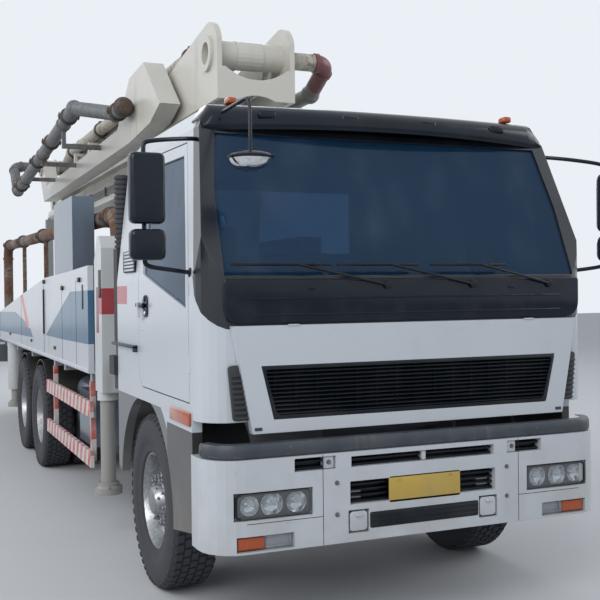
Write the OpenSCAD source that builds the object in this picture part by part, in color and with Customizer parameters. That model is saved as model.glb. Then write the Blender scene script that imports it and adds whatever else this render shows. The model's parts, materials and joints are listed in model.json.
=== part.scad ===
/* [Vehicle] */
// Length from the front bumper to the hopper's rear edge
overall_len = 11850; // [11600:10:12400]
// Front axle behind the front bumper
front_axle_y = 1330; // [1300:5:1360]
// First driven axle behind the front bumper
axle_2_y = 5925; // [5850:5:6000]
// Distance between the two driven axles
axle_gap = 1310; // [1300:5:1380]
// Half width of the body over its side panels
body_half = 1235; // [1225:1:1245]

/* [Chassis] */
// Height of the frame rails' top
frame_top = 1050; // [1040:1:1060]
// Height of a frame rail
rail_h = 285; // [260:1:300]
// Width over both frame rails
rail_span = 865; // [850:1:880]
// Width of a rail's flange
rail_flange = 85; // [70:1:95]
// Plate thickness of the rails
rail_t = 9; // [7:1:12]
// Height of the upper frame beams on the rails
subframe_h = 140; // [130:1:150]

/* [Wheels] */
// Outer diameter of a tyre
tyre_d = 1062; // [1040:1:1070]
// Width of a tyre
tyre_w = 292; // [270:1:296]
// Diameter of the rim at the tyre's bead
rim_d = 580; // [560:1:590]
// Half track of the front wheels
front_half_track = 1030; // [1020:1:1036]
// Half track of the twin wheels, between their two tyres
twin_half_track = 910; // [905:1:915]
// Space between the two tyres of a twin wheel
twin_gap = 36; // [30:1:40]
// Half distance between the kingpins
kingpin_half = 835; // [820:1:840]

/* [Cab] */
// Half width of the cab
cab_half = 1205; // [1190:1:1212]
// Rear wall of the cab behind the front bumper
cab_rear_y = 2050; // [2000:5:2060]
// Height of the cab's lower edge
cab_floor_z = 1150; // [1140:1:1160]
// Height of the cab's roof
cab_roof_z = 2835; // [2800:1:2840]
// Wall thickness of the cab and of its doors
cab_wall = 45; // [35:1:50]
// Gap around a door
door_gap = 7; // [6:1:9]

/* [Boom] */
// Slewing axis behind the front bumper
turret_y = 3450; // [3440:1:3470]
// Height of the slewing ring
slew_ring_z = 1930; // [1920:1:1960]
// Pin that joins boom arm 1 to the turret, behind the front bumper
joint_a_y = 3300; // [3290:1:3310]
// Height of that pin
joint_a_z = 3090; // [3085:1:3095]
// Pin between arm 1 and arm 2, behind the front bumper
joint_b_y = 11400; // [11350:1:11420]
// Height of that pin
joint_b_z = 3280; // [3275:1:3285]
// Pin between arm 2 and arm 3, behind the front bumper
joint_c_y = 2720; // [2700:1:2740]
// Height of that pin
joint_c_z = 3680; // [3675:1:3685]
// Pin between arm 3 and arm 4, behind the front bumper
joint_d_y = 10200; // [10150:1:10250]
// Height of that pin
joint_d_z = 3700; // [3698:1:3705]
// Front end of arm 4 behind the front bumper
tip_y = 3300; // [3280:1:3350]
// Outer diameter of the delivery pipe
pipe_d = 140; // [132:1:144]
// Bore of the delivery pipe
pipe_bore = 125; // [118:1:127]

/* [Outriggers] */
// Slide angle of the front outriggers, from straight ahead
front_leg_angle = 45; // [43:1:47]
// Width of a front outrigger beam
beam_w = 190; // [170:1:200]
// Height of a front outrigger beam
beam_h = 230; // [210:1:240]
// Length of a front outrigger beam
beam_len = 2150; // [2000:10:2200]
// Swing pin of the rear outriggers, behind the front bumper
rear_pivot_y = 10450; // [10430:1:10480]
// Length of a rear outrigger arm, from its pin to its leg
rear_arm_len = 1720; // [1650:5:1740]
// Diameter of an outrigger's foot plate
foot_d = 200; // [180:1:220]

/* [Pump] */
// Outer diameter of a pumping cylinder
pump_cyl_d = 250; // [230:1:270]
// Half width of the hopper at its top
hopper_half = 700; // [660:5:720]
// Height of the hopper's rim
hopper_top = 1500; // [1470:5:1520]

/* [Hidden] */
$fn = 48;

// Space between pieces that only lie on each other
seat_gap = 0.3;
// Space between moving pieces
run_gap = 6;
// Space of a shaft in its bore, on the diameter
pin_play = 0.6;

axle_z = tyre_d / 2;
axle_3_y = axle_2_y + axle_gap;
subframe_top = frame_top + subframe_h;
deck_t = 20;
deck_top = subframe_top + deck_t;
rail_out = rail_span / 2;
rail_bottom = frame_top - rail_h;

// Points of an arc: centre, radius, first and last angle, number of steps
function arc(c, r, a0, a1, n = 6) =
  [for (i = [0:n]) let (a = a0 + (a1 - a0) * i / n) [c[0] + r * cos(a), c[1] + r * sin(a)]];

// Moves a piece from its place behind the front bumper to the part's own origin, which lies
// midway between the round mirror's front and the hopper's rear edge
mirror_reach = 178;
module truck() translate([0, -(overall_len - mirror_reach) / 2, 0]) children();

// A box between two ends on each axis
module block(x, y, z)
  translate([x[0], y[0], z[0]]) cube([x[1] - x[0], y[1] - y[0], z[1] - z[0]]);

// A piece and its mirror image on the other side
module both() {
  children();
  mirror([1, 0, 0]) children();
}

// A piece modelled on the left, kept there or mirrored to the right
module sided(side) mirror([side == "right" ? 1 : 0, 0, 0]) children();

// A plate with an outline seen from the side, points as [y, z]
module side_plate(x, outline)
  translate([x[0], 0, 0]) rotate([90, 0, 90]) linear_extrude(x[1] - x[0]) polygon(outline);

// Round bars along each axis
module rod_x(x, y, z, d) translate([x[0], y, z]) rotate([0, 90, 0]) cylinder(h = x[1] - x[0], d = d);
module rod_y(x, y, z, d) translate([x, y[0], z]) rotate([-90, 0, 0]) cylinder(h = y[1] - y[0], d = d);
module rod_z(x, y, z, d) translate([x, y, z[0]]) cylinder(h = z[1] - z[0], d = d);

// A round bar in a side view plane, from point p to point q, both as [y, z]
module slant_rod(x, p, q, d)
  translate([x, p[0], p[1]]) rotate([atan2(p[0] - q[0], q[1] - p[1]), 0, 0])
    cylinder(h = norm(q - p), d = d);

// Frame: two rails with channel sections, cross members and the upper beams
cross_member_y = [560, 2850, 3900, 5150, 6580, 7950, 9300, 10650];
rail_y = [380, 10950];
subframe_y = [2450, 10950];
module rail_section() {
  polygon([[rail_out, rail_bottom], [rail_out, frame_top], [rail_out - rail_flange, frame_top],
    [rail_out - rail_flange, frame_top - rail_t], [rail_out - rail_t, frame_top - rail_t],
    [rail_out - rail_t, rail_bottom + rail_t], [rail_out - rail_flange, rail_bottom + rail_t],
    [rail_out - rail_flange, rail_bottom]]);
}
module frame() color("dimgray") truck() {
  both() {
    translate([0, rail_y[1], 0]) rotate([90, 0, 0])
      linear_extrude(rail_y[1] - rail_y[0]) rail_section();
    block([rail_out - rail_flange, rail_out], subframe_y, [frame_top, subframe_top]);
  }
  web_in = rail_out - rail_t;
  for (y = cross_member_y)
    difference() {
      block([-web_in, web_in], [y - 60, y + 60], [rail_bottom + rail_t, frame_top - rail_t]);
      block([-web_in + 40, web_in - 40], [y - 61, y + 52], [rail_bottom + 50, frame_top - 50]);
      slant_rod(0, shaft_p, shaft_q, shaft_d + 40);
    }
  beam_in = rail_out - rail_flange;
  for (y = [subframe_y[0] + 50, 5300, 6900, 8300, 9800, subframe_y[1] - 50])
    block([-beam_in, beam_in], [y - 50, y + 50], [frame_top, subframe_top]);
  // Rear beam, and the forks that hold the rear outriggers' pins
  both() {
    block([rail_out, rear_beam_half], [rail_y[1] - 80, rail_y[1]], [rail_bottom + 20, frame_top]);
    for (z = [rear_arm_z[0] - run_gap - 30, rear_arm_z[1] + run_gap]) difference() {
      block([rail_out - 1, rear_pivot_x + 90], [rear_pivot_y - 130, rail_y[1] - 79], [z, z + 30]);
      rod_z(rear_pivot_x, rear_pivot_y, [z - 1, z + 31], rear_pin_d + pin_play);
    }
  }
}
// Shaft to the driven axles: its two ends as [y, z]
shaft_p = [2749, 820];
shaft_q = [axle_2_y - 345, axle_z + 60];
shaft_d = 110;
rear_beam_half = 1130;
rear_arm_z = [830, 1010];
rear_pivot_x = 900;
rear_pin_d = 80;

// Axles with their springs: the front beam between the kingpins, two driven housings
spring_x = 390;
spring_w = 80;
front_beam_z = 410;
kingpin_d = 50;
kingpin_eye_h = 150;
hub_spindle_d = 96;
front_spring_len = 1300;
housing_d = 210;
diff_d = 430;
module front_axle() {
  difference() {
    union() {
      both() {
        rod_z(kingpin_half, front_axle_y, [axle_z - kingpin_eye_h / 2, axle_z + kingpin_eye_h / 2], 110);
        translate([0, front_axle_y + 45, 0]) rotate([90, 0, 0]) linear_extrude(90)
          polygon([[0, front_beam_z - 55], [480, front_beam_z - 55], [620, axle_z - 60],
            [kingpin_half - 40, axle_z - 60], [kingpin_half - 40, axle_z + 50], [580, axle_z + 50],
            [440, front_beam_z + 50], [0, front_beam_z + 50]]);
      }
    }
    both() rod_z(kingpin_half, front_axle_y, [0, 2 * axle_z], kingpin_d + pin_play);
  }
  // Leaf springs with their seats, rear and front hangers reach the rails
  both() {
    block([spring_x - 50, spring_x + 50], [front_axle_y - 70, front_axle_y + 70],
      [front_beam_z + 50, front_beam_z + 100]);
    side_plate([spring_x - spring_w / 2, spring_x + spring_w / 2], [
      [front_axle_y - front_spring_len / 2, 640], [front_axle_y - 250, front_beam_z + 115],
      [front_axle_y - 150, front_beam_z + 100], [front_axle_y + 150, front_beam_z + 100],
      [front_axle_y + 250, front_beam_z + 115], [front_axle_y + front_spring_len / 2, 640],
      [front_axle_y + front_spring_len / 2, 660], [front_axle_y + 150, front_beam_z + 190],
      [front_axle_y - 150, front_beam_z + 190], [front_axle_y - front_spring_len / 2, 660]]);
    for (s = [-1, 1])
      block([spring_x - 45, spring_x + 42],
        [front_axle_y + s * front_spring_len / 2 - 50, front_axle_y + s * front_spring_len / 2 + 50],
        [630, rail_bottom]);
  }
}
module driven_axle(y) {
  rod_x([-hub_in, hub_in], y, axle_z, housing_d);
  both() rod_x([hub_in - 1, spindle_end], y, axle_z, hub_spindle_d);
  rod_y(0, [y - 170, y + 150], axle_z, diff_d);
  rod_y(0, [y - 330, y - 169], axle_z + 60, 190);
}
hub_in = twin_half_track - 330;
twin_hub_end = 60;
spindle_end = twin_half_track + 200;
bogie_y = axle_2_y + axle_gap / 2;
bogie_spring_z = axle_z + housing_d / 2;
module axles() color("dimgray") truck() {
  front_axle();
  driven_axle(axle_2_y);
  driven_axle(axle_3_y);
  slant_rod(0, [axle_2_y + 140, shaft_q[1]], [axle_3_y - 320, shaft_q[1]], shaft_d - 10);
  // Springs over both driven axles, carried at the middle by a trunnion on the frame
  both() {
    side_plate([spring_x, spring_x + 90], [
      [axle_2_y - 80, bogie_spring_z - 30], [axle_2_y + 120, bogie_spring_z - 30],
      [bogie_y - 200, bogie_spring_z + 5], [bogie_y + 200, bogie_spring_z + 5],
      [axle_3_y - 120, bogie_spring_z - 30], [axle_3_y + 80, bogie_spring_z - 30],
      [axle_3_y + 80, bogie_spring_z + 20], [bogie_y + 160, bogie_spring_z + 110],
      [bogie_y - 160, bogie_spring_z + 110], [axle_2_y - 80, bogie_spring_z + 20]]);
    side_plate([spring_x + 95 - 90, rail_out], [
      [bogie_y - 120, bogie_spring_z + 100], [bogie_y + 120, bogie_spring_z + 100],
      [bogie_y + 170, rail_bottom], [bogie_y - 170, rail_bottom]]);
  }
  rod_x([-spring_x - 90, spring_x + 90], bogie_y, bogie_spring_z + 55, 100);
}

// Engine block under the cab, gearbox and shaft to the driven axles
module powertrain() color("slategray") truck() {
  block([-330, 330], [650, 1900], [600, 1120]);
  block([-rail_out + rail_t, rail_out - rail_t], [1000, 1080], [900, 960]);
  block([-rail_out + rail_t, rail_out - rail_t], [1700, 1780], [900, 960]);
  rod_y(0, [1899, 2100], 840, 420);
  block([-150, 150], [2099, 2750], [700, 980]);
  slant_rod(0, shaft_p, shaft_q, shaft_d);
  rod_y(0, [shaft_q[0] - 6, axle_2_y - 330 - seat_gap], shaft_q[1], shaft_d + 40);
}

// Tyre outline, points as [radius, place across the tyre]
bead_r = rim_d / 2;
module tyre() {
  tyre_r = tyre_d / 2;
  w = tyre_w / 2;
  rotate([0, 90, 0]) rotate_extrude($fn = 72) polygon([
    [bead_r + seat_gap, -w + 32], [bead_r + 30, -w + 16], [tyre_r - 130, -w], [tyre_r - 70, -w],
    [tyre_r - 16, -w + 18], [tyre_r, -w + 50], [tyre_r, w - 50], [tyre_r - 16, w - 18],
    [tyre_r - 70, w], [tyre_r - 130, w], [bead_r + 30, w - 16], [bead_r + seat_gap, w - 32]]);
}

// Rim with a dished disc and hub, the disc's place across the tyre is given
wheel_disc_t = 14;
rim_t = 14;
hub_d = 290;
module rim(disc_x, hub_x) {
  w = tyre_w / 2 - 34;
  bore_r = (hub_spindle_d + 1) / 2;
  rotate([0, 90, 0]) rotate_extrude($fn = 72) polygon([
    [bead_r - rim_t, -w], [bead_r, -w], [bead_r, w], [bead_r - rim_t, w],
    [bead_r - rim_t, disc_x + 30], [bead_r - 60, disc_x + wheel_disc_t], [hub_d / 2, disc_x + wheel_disc_t],
    [hub_d / 2, hub_x[1]], [bore_r, hub_x[1]], [bore_r, hub_x[0]], [hub_d / 2, hub_x[0]],
    [hub_d / 2, disc_x], [bead_r - 60, disc_x], [bead_r - rim_t, disc_x + 10]]);
}
module front_wheel(side) color("black") truck() sided(side)
  translate([front_half_track, front_axle_y, axle_z]) {
    tyre();
    rim(10, [-70, 118]);
  }
module twin_wheels(side, y) color("black") truck() sided(side)
  translate([twin_half_track, y, axle_z]) {
    tyre_shift = (twin_gap + tyre_w) / 2;
    for (s = [-1, 1]) translate([s * tyre_shift, 0, 0]) tyre();
    disc_in = -tyre_w / 2 + 41;
    hub_reach = 2 * (tyre_shift + disc_in);
    translate([tyre_shift, 0, 0]) rim(disc_in, [disc_in - hub_reach, twin_hub_end]);
    translate([-tyre_shift, 0, 0]) mirror([1, 0, 0]) rim(disc_in, [disc_in - 1, disc_in + wheel_disc_t + 1]);
  }

// Knuckle: a fork on the kingpin, a brake plate and the spindle of the front wheel
module knuckle(side) color("gray") truck() sided(side) {
  eye_half = kingpin_eye_h / 2 + 1;
  hub_face = front_half_track - 78;
  for (s = [-1, 1])
    translate([0, 0, axle_z + s * (eye_half + 20) - 20])
      linear_extrude(40) difference() {
        polygon([[kingpin_half - 50, front_axle_y - 50], [hub_face - 40, front_axle_y - 60],
          [hub_face - 40, front_axle_y + 60], [kingpin_half - 50, front_axle_y + 50]]);
      }
  rod_z(kingpin_half, front_axle_y, [axle_z - eye_half - 20, axle_z + eye_half + 20], kingpin_d);
  block([hub_face - 50, hub_face - 30], [front_axle_y - 60, front_axle_y + 60],
    [axle_z - eye_half - 40, axle_z + eye_half + 40]);
  rod_x([hub_face - 31, hub_face - 12], front_axle_y, axle_z, 400);
  rod_x([hub_face - 13, front_half_track + 90], front_axle_y, axle_z, hub_spindle_d);
}

// Cab: three outlines that its outer shape and, set in by the wall, its inner shape fit
cab_front_y = 110;
belt_z = 1890;
glass_top_z = 2700;
roof_half = cab_half - 115;
// Side view, points as [y, z]
cab_side_outline = [[cab_front_y, cab_floor_z], [cab_front_y, belt_z], [430, glass_top_z],
  [500, cab_roof_z - 50], [760, cab_roof_z], [1900, cab_roof_z - 10], [cab_rear_y, cab_roof_z - 95],
  [cab_rear_y, cab_floor_z]];
// Front view, right half of the points as [x, z]
cab_half_outline = [[cab_half, cab_floor_z], [cab_half, belt_z], [roof_half + 20, glass_top_z],
  [roof_half - 40, cab_roof_z - 20], [roof_half - 130, cab_roof_z + 1]];
cab_front_outline = concat(cab_half_outline,
  [for (i = [len(cab_half_outline) - 1:-1:0]) [-cab_half_outline[i][0], cab_half_outline[i][1]]]);
cab_corner_r = 170;
// Plan view, points as [x, y]
cab_plan_outline = concat(
  arc([cab_half - cab_corner_r, cab_front_y + cab_corner_r], cab_corner_r, 0, -90),
  arc([-cab_half + cab_corner_r, cab_front_y + cab_corner_r], cab_corner_r, -90, -180),
  [[-cab_half, cab_rear_y], [cab_half, cab_rear_y]]);
module cab_block(inset) intersection() {
  translate([-cab_half - 50, 0, 0]) rotate([90, 0, 90]) linear_extrude(2 * cab_half + 100)
    offset(delta = -inset) polygon(cab_side_outline);
  translate([0, cab_rear_y + 50, 0]) rotate([90, 0, 0]) linear_extrude(cab_rear_y)
    offset(delta = -inset) polygon(cab_front_outline);
  linear_extrude(cab_roof_z + 50) offset(delta = -inset) polygon(cab_plan_outline);
}
// Door seen from the side: its opening, and its window, points as [y, z]
door_front_y = 345;
door_rear_y = 1440;
door_outline = [[door_front_y, 1230], [door_front_y, belt_z + 20], [620, 2640], [1380, 2660],
  [door_rear_y, 2600], [door_rear_y, 1300], [1370, 1230]];
door_window = [[400, 1730], [400, belt_z + 35], [660, 2570], [1330, 2585], [1370, 2540],
  [1370, 2030], [1335, 1930]];
rear_side_window = [[1530, 2140], [1530, 2540], [1560, 2570], [1860, 2560], [1900, 2520], [1900, 2140]];
module side_prism(outline, grow = 0)
  translate([cab_half - 300, 0, 0]) rotate([90, 0, 90]) linear_extrude(400)
    offset(delta = grow) polygon(outline);
// Windscreen and rear window seen from the front, points as [x, z]
windscreen_outline = [[-1085, belt_z + 5], [1085, belt_z + 5], [1080, 2300], [1030, glass_top_z - 35],
  [-1030, glass_top_z - 35], [-1080, 2300]];
rear_window = [[-560, 2090], [560, 2090], [560, 2540], [-560, 2540]];
module front_prism(outline, y) translate([0, y[1], 0]) rotate([90, 0, 0])
  linear_extrude(y[1] - y[0]) polygon(outline);
screen_y = [0, 470];
back_light_y = [cab_rear_y - 80, cab_rear_y + 10];

// Hinges of the doors: their axis, and the lower and upper z of each knuckle
hinge_x = cab_half - 5;
hinge_pin_d = 14;
hinge_knuckle_d = 26;
hinge_z = [[1390, 1450], [1800, 1860]];
module cab_shell() color("white") truck() {
  difference() {
    cab_block(0);
    cab_block(cab_wall);
    both() side_prism(door_outline);
    both() for (z = hinge_z)
      rod_z(hinge_x, door_front_y, [z[0] - 2, z[1] + 2], hinge_knuckle_d + 6);
    front_prism(windscreen_outline, screen_y);
    front_prism(rear_window, back_light_y);
  }
  both() for (z = hinge_z) rod_z(hinge_x, door_front_y, [z[0] - 20, z[1] + 20], hinge_pin_d);
  // Engine tunnel between the seats
  difference() {
    block([-420, 420], [cab_front_y + 300, cab_rear_y - cab_wall], [cab_floor_z + cab_wall, 1480]);
    block([-390, 390], [cab_front_y + 330, cab_rear_y - cab_wall - 30], [cab_floor_z, 1450]);
  }
  // Mountings on the frame, front and rear
  both() {
    block([rail_out - 80, rail_out], [450, 610], [frame_top, cab_floor_z]);
    block([rail_out - 80, rail_out], [1880, 2020], [frame_top, cab_floor_z]);
  }
}
glass_in = 14;
glass_t = 6;
module glass_shell() difference() {
  cab_block(glass_in);
  cab_block(glass_in + glass_t);
}
module cab_glass() color("lightblue") truck() {
  intersection() { glass_shell(); front_prism(windscreen_outline, screen_y); }
  intersection() { glass_shell(); front_prism(rear_window, back_light_y); }
}
module door(side) color("white") truck() sided(side) {
  difference() {
    intersection() {
      difference() {
        cab_block(0);
        cab_block(cab_wall);
      }
      side_prism(door_outline, -door_gap);
    }
    side_prism(door_window);
  }
  for (z = hinge_z) difference() {
    union() {
      rod_z(hinge_x, door_front_y, z, hinge_knuckle_d);
      block([hinge_x - 12, hinge_x], [door_front_y + 4, door_front_y + 20], z);
    }
    rod_z(hinge_x, door_front_y, [z[0] - 1, z[1] + 1], hinge_pin_d + pin_play);
  }
  // Door handle
  handle_y = 1345;
  handle_z = 1726;
  block([cab_half - 1, cab_half + 16], [handle_y - 65, handle_y + 15], [handle_z - 70, handle_z + 50]);
  block([cab_half + 15, cab_half + 34], [handle_y - 15, handle_y + 5], [handle_z - 60, handle_z + 30]);
}
module door_glass(side) color("lightblue") truck() sided(side)
  intersection() { glass_shell(); side_prism(door_window); }

// Front lid between the windscreen and the bumper, with the opening of its grille
lid_y = [62, cab_front_y - seat_gap];
lid_z = [1092, 1640];
lid_half = [960, 1062];
grille_z = [1160, 1435];
grille_half = [845, 910];
module trapezoid(half, z) polygon([[-half[0], z[0]], [half[0], z[0]], [half[1], z[1]], [-half[1], z[1]]]);
module front_slab(y) translate([0, y[1], 0]) rotate([90, 0, 0]) linear_extrude(y[1] - y[0]) children();
module front_lid() color("white") truck() {
  front_slab(lid_y) difference() {
    trapezoid(lid_half, lid_z);
    trapezoid(grille_half, grille_z);
  }
  both() rod_x([700, 760], lid_y[0] - 2, lid_z[1], 10);
}
slat_pitch = 39;
module grille() color("black") truck() {
  front_slab([lid_y[1] - 6, lid_y[1]]) trapezoid(grille_half, grille_z);
  front_slab([lid_y[0] + 4, lid_y[1] - 6]) difference() {
    trapezoid(grille_half, grille_z);
    offset(delta = -14) trapezoid(grille_half, grille_z);
  }
  slats = floor((grille_z[1] - grille_z[0] - 40) / slat_pitch);
  for (i = [1:slats])
    translate([0, 0, grille_z[0] + 8 + i * slat_pitch])
      block([-grille_half[0] - 2, grille_half[0] + 2], [lid_y[0] + 12, lid_y[1] - 5], [-7, 7]);
}

// Bumper: a shell with round corners, seen from above, points as [x, y]
bumper_half = 1215;
bumper_z = [505, 975];
bumper_depth = 300;
bumper_wall = 60;
bumper_r = 190;
bumper_outline = concat(
  [[bumper_half, bumper_depth]],
  arc([bumper_half - bumper_r, bumper_r], bumper_r, 0, -90),
  arc([-bumper_half + bumper_r, bumper_r], bumper_r, -90, -180),
  [[-bumper_half, bumper_depth]]);
// Openings of the bumper, one row each: inner x, outer x, lower z, upper z
bumper_openings = [
  [0, 440, 895, 950],
  [530, 760, 895, 962],
  [0, 448, 700, 820]];
// Pockets of the lamps, one row each: inner x, outer x, lower z, upper z
lamp_pockets = [
  [660, 1085, 672, 812],
  [764, 1072, 515, 592]];
lamp_rim = 8;
repeater_y = [320, 700];
repeater_z = [1112, 1188];
tow_eye_x = 400;
tow_eye_z = 610;
tow_pin_d = 40;
// Half height of the fork, the pin's place as [x, y], and the rear of the fork's web
tow_eye_half = 50;
tow_pin = [tow_eye_x - 4, 60];
tow_web_y = 131;
pocket_depth = 50;
module bumper() color("white") truck() {
  difference() {
    translate([0, 0, bumper_z[0]]) linear_extrude(bumper_z[1] - bumper_z[0]) difference() {
      polygon(bumper_outline);
      offset(delta = -bumper_wall) polygon(bumper_outline);
      translate([-bumper_half + bumper_wall, bumper_depth - bumper_wall - 1])
        square([2 * (bumper_half - bumper_wall), bumper_wall + 2]);
    }
    both() for (o = bumper_openings) block([o[0] - 1, o[1]], [-10, bumper_wall + 30], [o[2], o[3]]);
    both() for (o = lamp_pockets) block([o[0], o[1]], [-10, pocket_depth], [o[2], o[3]]);
    both() block([tow_eye_x - 60, tow_eye_x + 60], [-10, bumper_wall + 30], [tow_eye_z - 60, tow_eye_z + 60]);
    both() rod_z(tow_pin[0], tow_pin[1], [bumper_z[0] - 1, tow_eye_z], tow_pin_d + 16);
  }
  // Brackets on the frame, with the eyes for the tow pin
  bracket_x = [tow_eye_x - 40, rail_out];
  both() difference() {
    union() {
      block(bracket_x, [12, tow_web_y], [tow_eye_z - tow_eye_half, tow_eye_z + tow_eye_half]);
      block(bracket_x, [tow_web_y - 26, tow_web_y], [tow_eye_z - tow_eye_half, rail_bottom - seat_gap]);
      block(bracket_x, [bumper_wall - 1, tow_web_y], [rail_bottom - 75, rail_bottom - seat_gap]);
      block(bracket_x, [tow_web_y - 1, rail_y[0] + 100], [rail_bottom - 125, rail_bottom - seat_gap]);
    }
    block([bracket_x[0] - 1, bracket_x[1] + 1], [-5, tow_web_y - 26], [tow_eye_z - 18, tow_eye_z + 18]);
    rod_z(tow_pin[0], tow_pin[1], [tow_eye_z - tow_eye_half - 1, tow_eye_z + tow_eye_half + 1],
      tow_pin_d + 1);
  }
}
module lamps() color("lightyellow") truck() {
  both() for (o = lamp_pockets)
    block([o[0] + lamp_rim, o[1] - lamp_rim], [16, pocket_depth], [o[2] + lamp_rim, o[3] - lamp_rim]);
  // Side repeaters over the front arch, and marker lamps on the visor
  both() {
    block([cab_half + seat_gap, cab_half + 14], repeater_y, repeater_z);
    block([870, 930], [480, 560], [cab_roof_z + 5.5, cab_roof_z + 45]);
  }
  // Tail lamps on the rear beam
  both() block([rail_out + 330, rail_out + 640], [rail_y[1], rail_y[1] + 50], [rail_bottom + 60, rail_bottom + 170]);
}

// Black panels: the cowl under the windscreen, the sun visor and the step on the bumper
cowl_z = [lid_z[1] + 4, belt_z - 12];
cowl_t = 34;
module black_trim() color("black") truck() {
  wipers();
  front_slab([cab_front_y - cowl_t, cab_front_y]) polygon([[-1066, cowl_z[0]], [1066, cowl_z[0]],
    [1102, cowl_z[0] + 30], [1102, cowl_z[1]], [-1102, cowl_z[1]], [-1102, cowl_z[0] + 30]]);
  // Vents at the cab's corners
  both() front_slab([cab_front_y - 36, cab_front_y])
    polygon([[981, 1165], [1030, 1165], [1062, 1430], [1036, 1437]]);
  // Visor: a bar in front of the roof's edge
  visor_half = roof_half - 10;
  difference() {
    side_plate([-visor_half, visor_half], [[400, glass_top_z + 2], [500, cab_roof_z - 50],
      [640, cab_roof_z - 20], [640, cab_roof_z + 8], [470, cab_roof_z + 2], [370, cab_roof_z - 60],
      [330, glass_top_z - 10]]);
    cab_block(0);
  }
  // Step strip over the bumper, between it and the lid
  translate([0, 0, bumper_z[1]]) linear_extrude(lid_z[0] - 40 - bumper_z[1]) difference() {
    offset(delta = -10) polygon(bumper_outline);
    translate([-bumper_half, cab_front_y + 60]) square([2 * bumper_half, bumper_depth]);
  }
}

// Seats, dashboard and steering wheel
seat_x = 700;
seat_z = 1500;
floor_z = cab_floor_z + cab_wall;
module seats() color("darkslategray") truck() both() {
  block([seat_x - 250, seat_x + 250], [1050, 1600], [seat_z + seat_gap, seat_z + 140]);
  side_plate([seat_x - 240, seat_x + 240], [[1520, seat_z + 130], [1640, seat_z + 130], [1760, 2240],
    [1660, 2260]]);
  side_plate([seat_x - 130, seat_x + 130], [[1661, 2250], [1750, 2235], [1790, 2420], [1710, 2430]]);
}
module cab_interior() color("gray") truck() {
  both() block([seat_x - 180, seat_x + 180], [1150, 1560], [floor_z, seat_z]);
  // Dashboard
  side_plate([-cab_half + 180, cab_half - 180], [[cab_front_y + 60, floor_z], [cab_front_y + 160, floor_z],
    [480, 1700], [620, 1760], [600, 1850], [420, 1875], [cab_front_y + 60, 1870]]);
  // Steering column and wheel on the right seat's side
  wheel_y = 830;
  wheel_z = 1905;
  slant_rod(-seat_x, [560, 1760], [wheel_y - 10, wheel_z + 8], 70);
  translate([-seat_x, wheel_y, wheel_z]) rotate([28, 0, 0]) {
    rotate_extrude() translate([215, 0]) circle(d = 32);
    for (a = [90, 210, 330]) rotate([0, 0, a]) block([0, 214], [-16, 16], [-8, 8]);
    cylinder(h = 40, d = 110, center = true);
  }
}

// Mirrors on arms at both front corners, and a round one over the windscreen
// Each case, one row each: lower z, upper z
mirror_cases = [[2155, 2510], [1975, 2130]];
mirror_x = [1365, 1545];
mirror_y = [165, 240];
arm_d = 24;
dome_place = [-1000, -60, 2470];
module mirrors() color("black") truck() {
  arm_x = (mirror_x[0] + mirror_x[1]) / 2;
  arm_y = mirror_y[1] + 22;
  both() {
    for (c = mirror_cases) block(mirror_x, mirror_y, c);
    rod_z(arm_x, arm_y, [1950, 2560], arm_d);
    for (c = mirror_cases)
      block([arm_x - 20, arm_x + 20], [mirror_y[1] - 1, arm_y], [(c[0] + c[1]) / 2 - 30, (c[0] + c[1]) / 2 + 30]);
    difference() {
      union() {
        translate([arm_x, arm_y, 2550]) rotate([0, -90, -6]) cylinder(h = arm_x - 1125, d = arm_d);
        translate([arm_x, arm_y, 1960]) rotate([0, -90, -6]) cylinder(h = arm_x - 1190, d = arm_d);
      }
      cab_block(0);
    }
  }
  // Round mirror on its stalk from the visor
  translate(dome_place)
    rotate_extrude() polygon([[0, -70], [60, -62], [112, -30], [118, 0], [60, 20], [0, 24]]);
  translate([dome_place[0], dome_place[1], dome_place[2] + 20]) cylinder(h = 285, d = 18);
  translate([dome_place[0], dome_place[1] - 9, dome_place[2] + 296]) rotate([-90, 0, 0]) cylinder(h = 430, d = 18);
}

// Three wipers across the windscreen's foot, one row each: pivot x, blade's first and last x
wiper_rows = [[-760, -1060, -560], [-80, -470, 20], [620, 100, 560]];
module wipers() {
  for (w = wiper_rows) {
    y = cab_front_y - 30;
    block([w[0] - 22, w[0] + 22], [y - 20, cab_front_y - cowl_t + 1], [cowl_z[1] - 60, cowl_z[1] - 14]);
    arm_end = (w[1] + w[2]) / 2;
    blade_z = belt_z + 60;
    hull() {
      translate([w[0], y - 12, cowl_z[1] - 36]) cube([24, 12, 16], center = true);
      translate([arm_end, y - 12, blade_z]) cube([16, 10, 12], center = true);
    }
    block([w[1], w[2]], [y - 8, y + 14], [blade_z - 8, blade_z + 8]);
  }
}

// Arches over the front wheels, with the steps behind and before them
arch_r = 640;
fender_x = [cab_half - 55, cab_half];
fender_front_y = bumper_depth + 8;
mudguard_x = [735, 1180];
mudguard_d = 1186;
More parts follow.
